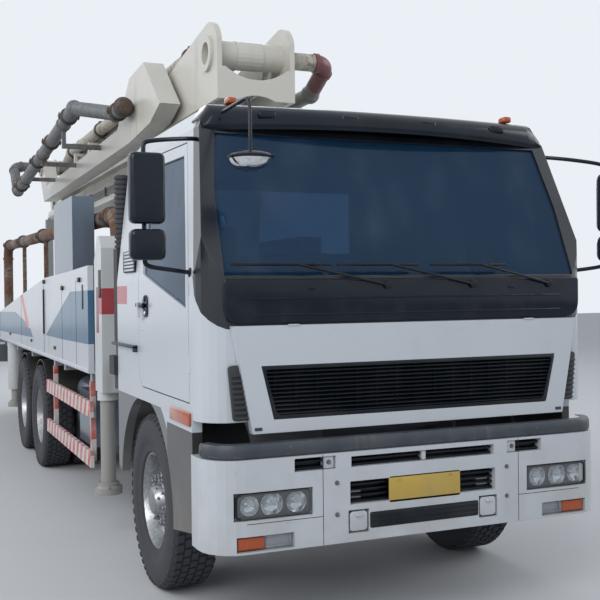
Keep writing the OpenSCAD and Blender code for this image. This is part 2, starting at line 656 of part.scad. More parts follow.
// Each mudguard, one row each: its axle's y, lower edge before and behind it, over the axle
mudguards = [[axle_2_y, 260, 260], [axle_3_y, 260, 0]];
module fenders() color("white") truck() both() {
  difference() {
    side_plate(fender_x, [[fender_front_y, 560], [fender_front_y, cab_floor_z - 0.3],
      [cab_rear_y, cab_floor_z - 0.3], [cab_rear_y, 640], [front_axle_y, 400]]);
    rod_x([fender_x[0] - 1, fender_x[1] + 1], front_axle_y, axle_z, 2 * arch_r);
    block([0, fender_x[1] + 1], [front_axle_y - 400, front_axle_y + 400], [0, axle_z]);
  }
  // Mudguards over the driven wheels, each on a stay from the upper frame
  for (g = mudguards) {
    difference() {
      rod_x(mudguard_x, g[0], axle_z, mudguard_d);
      rod_x([mudguard_x[0] - 1, mudguard_x[1] + 1], g[0], axle_z, mudguard_d - 16);
      block([0, cab_half], [g[0] - mudguard_d, g[0]], [-mudguard_d, axle_z + g[1]]);
      block([0, cab_half], [g[0] - 1, g[0] + mudguard_d], [-mudguard_d, axle_z + g[2]]);
    }
    block([rail_out, mudguard_x[0] + 30], [g[0] - 25, g[0] + 25],
      [axle_z + mudguard_d / 2 - 24, axle_z + mudguard_d / 2 - 4]);
  }
  // Inner arch lining
  difference() {
    rod_x([700, fender_x[0] + 1], front_axle_y, axle_z, 2 * arch_r + 24);
    rod_x([690, fender_x[0] + 2], front_axle_y, axle_z, 2 * arch_r);
    block([0, cab_half], [fender_front_y - 10, cab_rear_y], [-200, axle_z + 150]);
    block([0, cab_half], [fender_front_y - 10, cab_rear_y], [cab_floor_z - 0.3, cab_roof_z]);
  }
}

// Air intake behind the cab: a ribbed duct on a box, both on a stay from the frame
intake_x = [-1195, -1085];
intake_y = [cab_rear_y + 40, cab_rear_y + 150];
module air_intake() color("black") truck() {
  block(intake_x, intake_y, [1480, 2120]);
  difference() {
    block([intake_x[0] - 30, intake_x[1] + 20], [intake_y[0], intake_y[1] + 40], [1250, 1481]);
    block([intake_x[0] - 60, intake_x[1] - 90], [intake_y[0] - 1, intake_y[1] + 60], [1380, 1490]);
  }
  ribs = 15;
  rib_pitch = 34;
  translate([(intake_x[0] + intake_x[1]) / 2, (intake_y[0] + intake_y[1]) / 2, 2119]) {
    cylinder(h = ribs * rib_pitch, d = 92);
    for (i = [0:ribs - 1]) translate([0, 0, i * rib_pitch + 8]) cylinder(h = 18, d = 112);
  }
  block([intake_x[0], -rail_out], [intake_y[0], intake_y[1]], [1150, 1251]);
  block([-rail_out, -rail_out + 80], [intake_y[0], intake_y[1]], [frame_top, 1251]);
}

// Deck on its carriers, and the rest that arm 1 lies on
deck_half = 1190;
deck_y = [2800, 10400];
deck_carrier_y = [3150, 4400, 5000, 6590, 7950, 9100, 10200];
boom_rest_y = 9900;
rest_post_x = 480;
arm_1_z = [joint_a_z - 150, joint_a_z + 150];
module deck() color("lightgray") truck() {
  block([-deck_half, deck_half], deck_y, [subframe_top, deck_top]);
  both() {
    for (y = deck_carrier_y)
      block([rail_out, deck_half - 10], [y - 40, y + 40], [frame_top + 70, subframe_top]);
    block([rest_post_x - 50, rest_post_x + 50], [boom_rest_y - 50, boom_rest_y + 50],
      [deck_top, arm_1_z[0] - 140]);
  }
  block([-rest_post_x - 50, rest_post_x + 50], [boom_rest_y - 50, boom_rest_y + 50],
    [arm_1_z[0] - 140, arm_1_z[0] - 40]);
  block([-190, 190], [boom_rest_y - 50, boom_rest_y + 50], [arm_1_z[0] - 40, arm_1_z[0] - seat_gap]);
}

// Panels along both sides of the deck, points as [y, z]
panel_t = body_half - deck_half;
front_panel = [[2960, subframe_top + 5], [2960, 2030], [3900, 2000], [5235, 1972], [5235, subframe_top + 5]];
rear_panel = [[5255, subframe_top + 5], [5255, 1965], [6928, 1817], [9400, 1580], [10380, 1560],
  [10380, subframe_top + 5]];
module side_panels() color("white") truck() both() {
  side_plate([deck_half, body_half], front_panel);
  side_plate([deck_half, body_half], rear_panel);
  // Stiffeners behind the panels stand on the deck
  for (y = [3300, 3700, 5160, 7400, 9000])
    block([deck_half - 40, deck_half], [y - 20, y + 20], [deck_top, y < 5300 ? 1950 : 1540]);
}

// Boards along the sides between the wheels, on posts under the deck's carriers
guard_y = [3010, 5270];
guard_z = [[458, 583], [847, 971]];
guard_x = [1190, 1220];
guard_post_y = [3150, 5000];
module side_guards() color("white") truck() both() {
  for (z = guard_z) block(guard_x, guard_y, z);
  for (y = guard_post_y)
    block([guard_x[0] - 40, guard_x[0]], [y - 25, y + 25], [guard_z[0][0] + 10, frame_top + 70]);
}

// Tanks: water and oil tanks on the deck, fuel tank and air vessels under it
deck_tank_y = [3920, 4920];
module tanks() color("slategray") truck() {
  block([-1180, -990], deck_tank_y, [deck_top, 2660]);
  block([940, 1180], [3920, 5080], [deck_top, 2330]);
  // Fuel tank with its two brackets on the left rail
  block([620, 1130], [3350, 4500], [500, 1010]);
  for (y = [3600, 4250]) block([rail_out, 621], [y - 40, y + 40], [800, 1000]);
  // Battery box and air vessels on the right rail
  block([-1130, -620], [3350, 3950], [560, 1000]);
  block([-621, -rail_out], [3600, 3680], [800, 980]);
  for (z = [640, 900]) rod_y(-860, [4150, 4900], z, 240);
  block([-870, -rail_out], [4490, 4560], [790, 900]);
  rod_y(-860, [4480, 4570], 770, 245);
}

// Pedestal: the slewing ring's base with the crossed guides of the front outriggers
front_leg_x = 1160;
front_leg_y = 2630;
guide_wall = 14;
beam_z = [deck_top + guide_wall + run_gap, deck_top + 3 * guide_wall + 2 * run_gap + beam_h + 26];
ring_d = 940;
module beam_line(side, s, w, z)
  sided(side) translate([front_leg_x, front_leg_y, 0]) rotate([0, 0, front_leg_angle])
    translate([-w / 2, s[0], z[0]]) cube([w, s[1] - s[0], z[1] - z[0]]);
module pedestal() color("silver") truck() {
  pedestal_block();
  // Pads that the beams run on
  for (i = [0, 1]) for (s = [[290, 390], [beam_len - 120, beam_len - 20]])
    beam_line(i == 0 ? "right" : "left", s, beam_w + 2 * run_gap + 2,
      [beam_z[i] - run_gap - 1, beam_z[i] - seat_gap]);
}
module pedestal_block() difference() {
  union() {
    block([-470, 470], [turret_y - 500, 4180], [deck_top, slew_ring_z - 40]);
    rod_z(0, turret_y, [slew_ring_z - 41, slew_ring_z], ring_d);
    for (i = [0, 1])
      beam_line(i == 0 ? "right" : "left", [290, beam_len + 30], beam_w + 2 * (run_gap + guide_wall),
        [beam_z[i] - run_gap - guide_wall, beam_z[i] + beam_h + run_gap + guide_wall]);
  }
  for (i = [0, 1])
    beam_line(i == 0 ? "right" : "left", [200, beam_len + 400], beam_w + 2 * run_gap,
      [beam_z[i] - run_gap, beam_z[i] + beam_h + run_gap]);
  // Bore of the turret's spigot
  rod_z(0, turret_y, [slew_ring_z - 120, slew_ring_z + 1], pipe_d + 40);
}

// Front outrigger: a beam in its guide with the housing of its leg
leg_d = 110;
housing_x = [1098, 1222];
housing_y = [2500, 2762];
housing_z = [1085, 2235];
module front_beam(side) color("white") truck() {
  i = side == "right" ? 0 : 1;
  difference() {
    union() {
      beam_line(side, [60, beam_len], beam_w, [beam_z[i], beam_z[i] + beam_h]);
      sided(side) side_plate(housing_x, [[housing_y[0], housing_z[0]], [housing_y[0], housing_z[1] - 90],
        [housing_y[0] + 60, housing_z[1]], [housing_y[1] - 120, housing_z[1]],
        [housing_y[1], housing_z[1] - 180], [housing_y[1], housing_z[0]]]);
      sided(side) rod_z(front_leg_x, front_leg_y, [housing_z[0] - 62, housing_z[0] + 1], 150);
    }
    sided(side) rod_z(front_leg_x, front_leg_y, [housing_z[0] - 80, housing_z[0] + 700], leg_d + 1);
  }
}
foot_z = 330;
module leg(x, y, z, side) sided(side) {
  rod_z(x, y, [z[0] + 45, z[1]], leg_d);
  rod_z(x, y, [z[0], z[0] + 46], foot_d);
}
module front_leg(side) color("lightgray") truck()
  leg(front_leg_x, front_leg_y, [foot_z, housing_z[0] + 680], side);

// Rear outrigger: an arm on its pin that lies along the side, with its leg
rear_leg_x = 1120;
rear_leg_y = rear_pivot_y - rear_arm_len;
module rear_arm(side) color("white") truck() sided(side) difference() {
  union() {
    translate([0, 0, rear_arm_z[0]]) linear_extrude(rear_arm_z[1] - rear_arm_z[0]) polygon([
      [rear_pivot_x - 80, rear_pivot_y], [rear_pivot_x + 80, rear_pivot_y],
      [rear_leg_x + 60, rear_leg_y + 90], [rear_leg_x - 60, rear_leg_y + 90]]);
    rod_z(rear_pivot_x, rear_pivot_y, rear_arm_z, 170);
    rod_z(rear_leg_x, rear_leg_y, rear_tube_z, 190);
    block([rear_leg_x - 60, rear_leg_x + 60], [rear_leg_y, rear_leg_y + 91], rear_arm_z);
    rod_z(rear_pivot_x, rear_pivot_y,
      [rear_arm_z[0] - run_gap - 30, rear_arm_z[1] + run_gap + 30], rear_pin_d);
  }
  rod_z(rear_leg_x, rear_leg_y, [rear_tube_z[0] - 1, rear_tube_z[1] - 10], leg_d + 1);
}
rear_tube_z = [560, 1180];
module rear_leg(side) color("lightgray") truck()
  leg(rear_leg_x, rear_leg_y, [foot_z, rear_tube_z[1] - 20], side);

// Pump unit: drive cylinders, water box and pumping cylinders down to the hopper
pump_x = 165;
pump_p = [[5650, 1560], [7850, 1480], [8300, 1470], [10950, 1380]];
module pump_unit() color("silver") truck() {
  both() {
    slant_rod(pump_x, pump_p[0], pump_p[1], 160);
    difference() {
      slant_rod(pump_x, pump_p[2], pump_p[3], pump_cyl_d);
      block([0, hopper_half], [hopper_y[0] - seat_gap, hopper_y[0] + 200], [0, 2 * hopper_top]);
    }
    slant_rod(pump_x, pump_p[0], pump_p[0] + [60, 0], 200);
  }
  block([-340, 340], [pump_p[1][0] - 10, pump_p[2][0] + 10], [deck_top, 1650]);
  for (y = [5900, 10300]) block([-300, 300], [y - 30, y + 30], [deck_top, 1400]);
}

// Hopper: side outline as [y, z] and front outline as [x, z]
hopper_wall = 12;
hopper_y = [10950, overall_len];
hopper_bottom = 560;
hopper_side = [[hopper_y[0], hopper_top], [hopper_y[0], 900], [hopper_y[0] + 200, hopper_bottom],
  [hopper_y[1] - 250, hopper_bottom], [hopper_y[1], 1100], [hopper_y[1], hopper_top]];
hopper_front = [[-hopper_half, hopper_top], [-hopper_half, 1150], [-420, hopper_bottom],
  [420, hopper_bottom], [hopper_half, 1150], [hopper_half, hopper_top]];
module hopper_block(inset) intersection() {
  translate([-hopper_half, 0, 0]) rotate([90, 0, 90]) linear_extrude(2 * hopper_half)
    offset(delta = -inset) polygon(hopper_side);
  translate([0, hopper_y[1], 0]) rotate([90, 0, 0]) linear_extrude(hopper_y[1] - hopper_y[0])
    offset(delta = -inset) polygon(hopper_front);
}
agitator_y = 11400;
agitator_z = 960;
agitator_d = 60;
agitator_half = 570;
module hopper() color("gray") truck() difference() {
  union() {
    hopper_block(0);
    both() rod_x([agitator_half - 40, hopper_half - 60], agitator_y, agitator_z, 130);
  }
  difference() {
    hopper_block(hopper_wall);
    both() rod_x([agitator_half - 40, hopper_half], agitator_y, agitator_z, 130);
  }
  block([-hopper_half + hopper_wall, hopper_half - hopper_wall],
    [hopper_y[0] + hopper_wall, hopper_y[1] - hopper_wall], [hopper_top - 60, hopper_top + 1]);
  rod_x([-agitator_half, agitator_half], agitator_y, agitator_z, agitator_d + pin_play);
}
module agitator() color("gray") truck() {
  rod_x([-agitator_half, agitator_half], agitator_y, agitator_z, agitator_d);
  for (x = [-360, -140, 140, 360])
    translate([x, agitator_y, agitator_z]) rotate([x > 0 ? 0 : 90, 0, 0])
      block([-12, 12], [-200, 200], [-35, 35]);
}

// Grate over the hopper, hinged at its front edge
grate_bar = 16;
grate_z = hopper_top + seat_gap;
grate_y = [hopper_y[0] + 2, hopper_y[1] - 2];
module hopper_grate() color("dimgray") truck() {
  inner = hopper_half - 4;
  difference() {
    block([-inner, inner], grate_y, [grate_z, grate_z + 34]);
    block([-inner + 30, inner - 30], [grate_y[0] + 30, grate_y[1] - 30], [grate_z - 1, grate_z + 40]);
  }
  bars = 12;
  pitch = 2 * (inner - 30) / bars;
  for (i = [1:bars - 1])
    block([-inner + 30 + i * pitch - grate_bar / 2, -inner + 30 + i * pitch + grate_bar / 2],
      [grate_y[0] + 29, grate_y[1] - 29], [grate_z, grate_z + 30]);
  block([-inner + 29, inner - 29], [(grate_y[0] + grate_y[1]) / 2 - 8, (grate_y[0] + grate_y[1]) / 2 + 8],
    [grate_z, grate_z + 30]);
  both() rod_x([540, 640], hopper_y[0], grate_z + 16.7, 24);
}

// Pipes: straight lengths between corner points, with a round bend at each corner
function unit(v) = v / norm(v);
function turn_angle(p, i) = acos(unit(p[i] - p[i - 1]) * unit(p[i + 1] - p[i]));
// A corner that turns this many degrees or more gets a bend, a slighter one a ball joint
bend_from = 45;
function has_bend(p, i) = i > 0 && i < len(p) - 1 && turn_angle(p, i) >= bend_from;
function trim(p, i, r) = has_bend(p, i) ? r * tan(turn_angle(p, i) / 2) : 0;
module bar(p, q, d) {
  v = q - p;
  translate(p) rotate([0, acos(v[2] / norm(v)), atan2(v[1], v[0])]) cylinder(h = norm(v), d = d);
}
// A bend at corner i, from the end of one straight length to the start of the next
module bend(p, i, d, r) {
  a = unit(p[i] - p[i - 1]);
  b = unit(p[i + 1] - p[i]);
  m = unit(b - a * (a * b));
  n = cross(a, m);
  c = p[i] - a * trim(p, i, r) + m * r;
  multmatrix([[-m[0], a[0], n[0], c[0]], [-m[1], a[1], n[1], c[1]], [-m[2], a[2], n[2], c[2]], [0, 0, 0, 1]])
    rotate_extrude(angle = turn_angle(p, i)) translate([r, 0]) circle(d = d);
}
// Couplings cover every joint of a straight length and a bend
coupling_w = 30;
coupling_t = 10;
module pipe_run(p, d, r) {
  last = len(p) - 2;
  half = coupling_w / 2;
  for (i = [0:last]) {
    v = unit(p[i + 1] - p[i]);
    s = [trim(p, i, r), norm(p[i + 1] - p[i]) - trim(p, i + 1, r)];
    from_bend = has_bend(p, i);
    to_bend = has_bend(p, i + 1);
    if (s[1] - s[0] > 2 * coupling_w) {
      bar(p[i] + v * (s[0] + (from_bend ? 3 : 0)), p[i] + v * (s[1] - (to_bend ? 3 : 0)), d);
      if (from_bend) bar(p[i] + v * (s[0] - half), p[i] + v * (s[0] + half), d + 2 * coupling_t);
      if (to_bend) bar(p[i] + v * (s[1] - half), p[i] + v * (s[1] + half), d + 2 * coupling_t);
    }
    else bar(p[i] + v * (from_bend ? s[0] - half : 0), p[i] + v * (to_bend ? s[1] + half : s[1]),
      d + 2 * coupling_t);
  }
  for (i = [1:last])
    if (has_bend(p, i)) bend(p, i, d, r);
    else translate(p[i]) sphere(d = d + 2 * coupling_t + 4);
}
bend_r = 200;
elbow_r = 100;

// Delivery line on the chassis: from the hopper up, forward beside the deck and into the pedestal
line_x = -910;
line_top_z = [2450, 2580];
line_y = [3300, 11300];
line_low_z = 790;
line_entry_z = 1630;
line_top = [[line_x, line_y[0], line_top_z[0]], [line_x, line_y[1], line_top_z[1]]];
line_way = unit(line_top[1] - line_top[0]);
line_joint = 300; // from a corner of the line to the joint of its straight run
module delivery_line() color("sienna") truck() {
  bar(line_top[0] + line_way * line_joint, line_top[1] - line_way * line_joint, pipe_d);
  // Stays from the deck
  for (y = [5400, 7300, 9300])
    block([line_x - 25, line_x + 25], [y - 15, y + 15], [deck_top, line_top_z[1] - 10]);
}
// The line's bends and upright runs, before and behind its straight run
module delivery_bends() color("sienna") truck() {
  pipe_run([[-470, line_y[0], line_entry_z], [line_x, line_y[0], line_entry_z], line_top[0],
    line_top[0] + line_way * (line_joint - seat_gap)], pipe_d, bend_r);
  pipe_run([line_top[1] - line_way * (line_joint - seat_gap), line_top[1],
    [line_x, line_y[1], line_low_z], [-hopper_half + 130, line_y[1], line_low_z]], pipe_d, bend_r);
}

// Turret: ring, two side plates up to the pin of arm 1, and the pipe that climbs beside them
arm_1_half = 165;
plate_t = 40;
turret_in = arm_1_half + run_gap;
pin_d = 110;
lift_pin_d = 80;
lift_head_pin_d = 60;
lift_foot = [3610, 2110];
lift_head = [4600, 2880];
turret_base = [slew_ring_z + run_gap, slew_ring_z + 90];
turret_plate = concat([[3170, turret_base[1] - 1], [3170, joint_a_z - 40]],
  arc([joint_a_y, joint_a_z], 130, 180, 45),
  [[3640, 2700], [3860, 2330], [3860, turret_base[1] - 1]]);
riser_x = 285;
pipe_a_x = 390;
spigot_d = pipe_d + 38;
module turret() color("white") truck() {
  rod_z(0, turret_y, turret_base, ring_d);
  both() side_plate([turret_in, turret_in + plate_t], turret_plate);
  block([-turret_in - 1, turret_in + 1], [3180, 3210], [turret_base[1] - 1, 2700]);
  rod_z(0, turret_y, [slew_ring_z - 60, turret_base[0] + 1], spigot_d);
  // Pins of arm 1 and of the lift cylinder
  rod_x([-turret_in - plate_t - 15, turret_in + plate_t + 15], joint_a_y, joint_a_z, pin_d);
  rod_x([-turret_in - plate_t - 15, turret_in + plate_t + 15], lift_foot[0], lift_foot[1], lift_pin_d);
  pipe_run([[0, turret_y, turret_base[1] - 5], [0, turret_y, 2125], [riser_x, turret_y, 2125],
    [riser_x, joint_a_y, joint_a_z], [pipe_a_x, joint_a_y, joint_a_z]], pipe_d, elbow_r);
}

// Arm 1: a box from the turret back to the fork that holds the pin of arm 2
arm_2_half = 150;
fork_t = 30;
fork_in = arm_2_half + run_gap;
fork_out = fork_in + fork_t;
arm_1_box_end = joint_b_y - 500;
arm_1_outline = concat(arc([joint_a_y, joint_a_z], 145, 90, 270, 10),
  [[3500, arm_1_z[0]], [joint_b_y - 1200, arm_1_z[0]], [arm_1_box_end, arm_1_z[0] + 60],
  [arm_1_box_end, arm_1_z[1] - 10], [joint_a_y + 600, arm_1_z[1]]]);
arm_1_fork = concat([[joint_b_y - 900, arm_1_z[0] + 30]], arc([joint_b_y, joint_b_z], 165, -70, 110, 12),
  [[joint_b_y - 900, arm_1_z[1] - 15]]);
fold_2 = [-262, 3050];
fold_barrel_d = 160;
fold_rod_d = 60;
fold_2_y = [8900, 10900, 11360];
module fold_barrel(place, y, mouth) rod_y(place[0], [min(y, mouth), max(y, mouth)], place[1], fold_barrel_d);
module arm_1() color("white") truck() {
  difference() {
    union() {
      side_plate([-arm_1_half, arm_1_half], arm_1_outline);
      both() side_plate([fork_in, fork_out], arm_1_fork);
    }
    rod_x([-400, 400], joint_a_y, joint_a_z, pin_d + pin_play);
    // Pocket for the head of the lift cylinder
    block([-46, 46], [lift_head[0] - 130, lift_head[0] + 90], [arm_1_z[0] - 10, arm_1_z[0] + 60]);
  }
  both() difference() {
    side_plate([47, 77], [[lift_head[0] - 130, arm_1_z[0] + 1], [lift_head[0] - 50, lift_head[1] - 50],
      [lift_head[0] + 50, lift_head[1] - 50], [lift_head[0] + 130, arm_1_z[0] + 1]]);
  }
  // Ends of the lift cylinder's head pin; its middle stays in the rod's eye, which leaves its pin as the boom lifts
  both() rod_x([60, 78], lift_head[0], lift_head[1], lift_head_pin_d);
  rod_x([-fork_out - 15, fork_out + 15], joint_b_y, joint_b_z, pin_d);
  // Cylinder that folds arm 2, with its two brackets
  difference() {
    union() {
      fold_barrel(fold_2, fold_2_y[0], fold_2_y[1]);
      for (y = [fold_2_y[0] + 60, fold_2_y[1] - 120])
        block([fold_2[0], -arm_1_half + 1], [y - 30, y + 30], [fold_2[1] - 50, fold_2[1] + 50]);
    }
    rod_y(fold_2[0], [fold_2_y[0] + 200, fold_2_y[1] + 1], fold_2[1], fold_rod_d + 1);
  }
}

// Arm 2: a box on arm 1 with the head that holds the hollow pin of arm 3
arm_2_z = [joint_b_z + 30, joint_b_z + 310];
head_x = [280, 320];
head_hub_d = 280;
sleeve_d = 220;
head_front_y = joint_c_y - 230;
head_bottom_z = joint_b_z + 12;
head_outline = concat([[head_front_y, head_bottom_z], [head_front_y, joint_c_z - 60]],
  arc([joint_c_y, joint_c_z], 240, 160, 85, 6),
  [[joint_c_y + 850, joint_c_z + 120], [joint_c_y + 2100, arm_2_z[1]], [joint_c_y + 2100, arm_2_z[0]],
  [joint_c_y + 800, head_bottom_z]]);
arm_2_outline = concat([[joint_c_y + 650, arm_2_z[0]], [joint_b_y - 260, arm_2_z[0]]],
  arc([joint_b_y, joint_b_z], 130, -110, 80, 12), [[joint_b_y - 260, arm_2_z[1]],
  [joint_c_y + 650, arm_2_z[1]]]);
// Levers that the fold cylinders push, their plates' places across the truck
lever_2_x = [-226, -206];
lever_3_x = [185, 205];
lever_4_x = [-355, -325];
fold_3 = [235, 3480];
fold_3_y = [5200, 3900, 2835];
module arm_2() color("white") truck() {
  difference() {
    side_plate([-arm_2_half, arm_2_half], arm_2_outline);
    rod_x([-400, 400], joint_b_y, joint_b_z, pin_d + pin_play);
  }
  difference() {
    union() {
      both() {
        side_plate(head_x, head_outline);
        rod_x([head_x[0], head_x[1] + 25], joint_c_y, joint_c_z, head_hub_d);
        block([arm_2_half - 1, head_x[0] + 1], [joint_c_y + 2060, joint_c_y + 2090], arm_2_z);
      }
      block([-head_x[0] - 1, -arm_2_half + 1], [joint_c_y + 1100, joint_c_y + 1130], arm_2_z);
      // Front plate with an arc cut into its top and its bottom
      difference() {
        block([-head_x[0] - 1, head_x[0] + 1], [head_front_y, head_front_y + 25],
          [head_bottom_z, joint_c_z - 140]);
        rod_y(0, [head_front_y - 1, head_front_y + 26], joint_c_z + 170, 800);
        rod_y(0, [head_front_y - 1, head_front_y + 26], joint_b_z - 270, 640);
      }
      fold_barrel(fold_3, fold_3_y[0], fold_3_y[1]);
    }
    rod_x([-400, 400], joint_c_y, joint_c_z, sleeve_d + pin_play);
    rod_y(fold_3[0], [fold_3_y[1] - 1, fold_3_y[0] - 200], fold_3[1], fold_rod_d + 1);
  }
  // Lever of the cylinder on arm 1, beside the fork
  difference() {
    side_plate(lever_2_x, [[10950, 3560], [11100, 3560], [11400, 3380], [11430, 3060], [11400, 3005],
      [11330, 3005], [11290, 3060], [11240, 3280], [10950, 3400]]);
    rod_x([-400, 0], fold_2_y[2], fold_2[1], 51);
  }
  block([lever_2_x[0], -arm_2_half + 1], [10950, 11100], [3420, 3560]);
}

// Arm 3: a slim box on arm 2, back to the hollow pin of arm 4
arm_3_half = 110;
arm_3_z = [joint_c_z + 30, joint_c_z + 200];
arm_4_x = [-540, -360];
arm_3_outline = concat(arc([joint_c_y, joint_c_z], 115, 100, 260, 10),
  [[joint_c_y + 400, arm_3_z[0]], [joint_d_y - 300, arm_3_z[0]]],
  arc([joint_d_y, joint_d_z], 90, -90, 60, 8), [[joint_d_y - 200, arm_3_z[1] - 20],
  [joint_c_y + 500, arm_3_z[1]]]);
pipe_c_x = 585;
pipe_3_x = -193;
pipe_3_z = 3850;
swivel_gap = 3;
pipe_3_points = [[pipe_c_x - swivel_gap, joint_c_y, joint_c_z], [pipe_3_x, joint_c_y, joint_c_z],
  [pipe_3_x, joint_c_y + 350, joint_c_z], [pipe_3_x, joint_c_y + 900, pipe_3_z],
  [pipe_3_x, joint_d_y - 600, pipe_3_z], [pipe_3_x, joint_d_y, joint_d_z],
  [pipe_3_x - 105, joint_d_y, joint_d_z]];
sleeve_bore = pipe_d + 2 * coupling_t + 12;
opening_half = 95;
sleeve_end_x = arm_4_x[0] - 20;
fold_4 = [-245, 3520];
fold_4_y = [7900, 9100, 10170];
module arm_3() color("white") truck() {
  difference() {
    union() {
      side_plate([-arm_3_half, arm_3_half], arm_3_outline);
      rod_x([-head_x[1] - 25, head_x[1] + 25], joint_c_y, joint_c_z, sleeve_d);
      rod_x([sleeve_end_x, -arm_3_half + 1], joint_d_y, joint_d_z, sleeve_d);
      rod_x([sleeve_end_x, arm_4_x[0] - 5], joint_d_y, joint_d_z, sleeve_d + 40);
    }
    // Bores of both hollow pins, and the openings by which the pipe leaves them
    rod_x([-400, 400], joint_c_y, joint_c_z, sleeve_bore);
    rod_x([sleeve_end_x - 1, 1 - arm_3_half], joint_d_y, joint_d_z, sleeve_bore);
    block([pipe_3_x - opening_half, -10], [joint_c_y, joint_c_y + 200],
      [joint_c_z - opening_half, joint_c_z + opening_half]);
    block([pipe_3_x - opening_half, -arm_3_half], [joint_d_y - 200, joint_d_y],
      [joint_d_z - opening_half, joint_d_z + 120]);
  }
  // Lever of the cylinder on arm 2
  difference() {
    side_plate(lever_3_x, [[2680, 3600], [2780, 3440], [2835, 3425], [2885, 3450], [2890, 3500],
      [2800, 3660], [2700, 3720]]);
    rod_x([0, 400], fold_3_y[2], fold_3[1], 51);
    rod_x([0, 400], joint_c_y, joint_c_z, sleeve_d - 2);
  }
  // Cylinder that folds arm 4, hung beside arm 2
  difference() {
    union() {
      rod_y(fold_4[0], [fold_4_y[0], fold_4_y[1]], fold_4[1], 110);
      for (y = [fold_4_y[0] + 60, fold_4_y[1] - 120]) {
        block([fold_4[0] - 20, fold_4[0] + 20], [y - 30, y + 30], [fold_4[1], arm_3_z[0] + 45]);
        block([fold_4[0] - 20, -arm_3_half + 1], [y - 30, y + 30], [arm_3_z[0] + 5, arm_3_z[0] + 45]);
      }
    }
    rod_y(fold_4[0], [fold_4_y[0] + 200, fold_4_y[1] + 1], fold_4[1], fold_rod_d + 1);
  }
}

// Arm 4: beside arm 2, from its pin forward to the raised tip
arm_4_z = [3230, 3430];
arm_4_outline = [[tip_y + 60, 3400], [tip_y + 600, 3860], [tip_y + 1150, 3830], [tip_y + 1700, arm_4_z[1]],
  [joint_d_y - 500, arm_4_z[1] - 60], [joint_d_y - 110, joint_d_z + 95], [joint_d_y, joint_d_z + 145],
  [joint_d_y + 110, joint_d_z + 95], [joint_d_y + 145, joint_d_z], [joint_d_y + 100, joint_d_z - 110],
  [joint_d_y - 250, arm_4_z[0] - 60], [tip_y + 1200, arm_4_z[0]], [tip_y + 400, arm_4_z[0] + 60]];
module arm_4() color("white") truck() difference() {
  union() {
    side_plate(arm_4_x, arm_4_outline);
    side_plate(lever_4_x, concat(arc([joint_d_y, joint_d_z], 138, -20, 200, 12),
      [[fold_4_y[2] - 50, fold_4[1] + 10], [fold_4_y[2] - 30, fold_4[1] - 45],
      [fold_4_y[2] + 30, fold_4[1] - 45], [fold_4_y[2] + 50, fold_4[1] + 10]]));
    rod_x([arm_4_x[1] - 1, lever_4_x[0] + 1], joint_d_y, joint_d_z, 276);
  }
  rod_x([arm_4_x[0] - 10, lever_4_x[1] + 10], joint_d_y, joint_d_z, sleeve_d + pin_play);
  rod_x([arm_4_x[1] + 3, lever_4_x[1] + 10], fold_4_y[2], fold_4[1], 51);
}

// Pipes of the arms, from joint to joint, each held by clamps on its arm
clamp_w = 50;
module clamp(at, z_foot, x_foot) {
  rod_y(at[0], [at[1] - clamp_w / 2, at[1] + clamp_w / 2], at[2], pipe_d + 16);
  block([min(at[0] - 20, x_foot), max(at[0] + 20, x_foot)], [at[1] - 20, at[1] + 20],
    [z_foot - 25, z_foot + 25]);
  block([at[0] - 20, at[0] + 20], [at[1] - 20, at[1] + 20],
    [min(z_foot, at[2]) - 25, max(z_foot, at[2]) + 25]);
}
pipe_1_x = 495;
pipe_1_z = 3060;
pipe_b_x = 600;
module pipe_1() color("lightgray") truck() {
  pipe_run([[pipe_a_x + swivel_gap, joint_a_y, joint_a_z], [pipe_1_x, joint_a_y, joint_a_z],
    [pipe_1_x, joint_a_y + 400, pipe_1_z], [pipe_1_x, joint_b_y - 350, pipe_1_z],
    [pipe_1_x, joint_b_y, joint_b_z], [pipe_b_x, joint_b_y, joint_b_z]], pipe_d, elbow_r);
  for (y = [4300, 6100, 7900, 9600]) clamp([pipe_1_x, y, pipe_1_z], pipe_1_z, arm_1_half);
}
pipe_2_x = 705;
pipe_2_z = 3500;
module pipe_2() color("lightgray") truck() {
  pipe_run([[pipe_b_x + swivel_gap, joint_b_y, joint_b_z], [pipe_2_x, joint_b_y, joint_b_z],
    [pipe_2_x, joint_b_y - 400, pipe_2_z], [pipe_2_x, joint_c_y + 350, pipe_2_z],
    [pipe_2_x, joint_c_y, joint_c_z], [pipe_c_x, joint_c_y, joint_c_z]], pipe_d, elbow_r);
  for (y = [5600, 7500, 9400]) clamp([pipe_2_x, y, pipe_2_z], pipe_2_z - 20, arm_2_half);
}
module pipe_3() color("lightgray") truck() {
  pipe_run(pipe_3_points, pipe_d, elbow_r);
  for (y = [4600, 6600, 8800]) clamp([pipe_3_x, y, pipe_3_z], pipe_3_z, -arm_3_half);
}
pipe_4_x = -930;
pipe_4_low = [9800, 3290];
pipe_4_high = [5150, 3650];
pipe_end = [-640, 4250, 3520];
end_bore_len = 260;
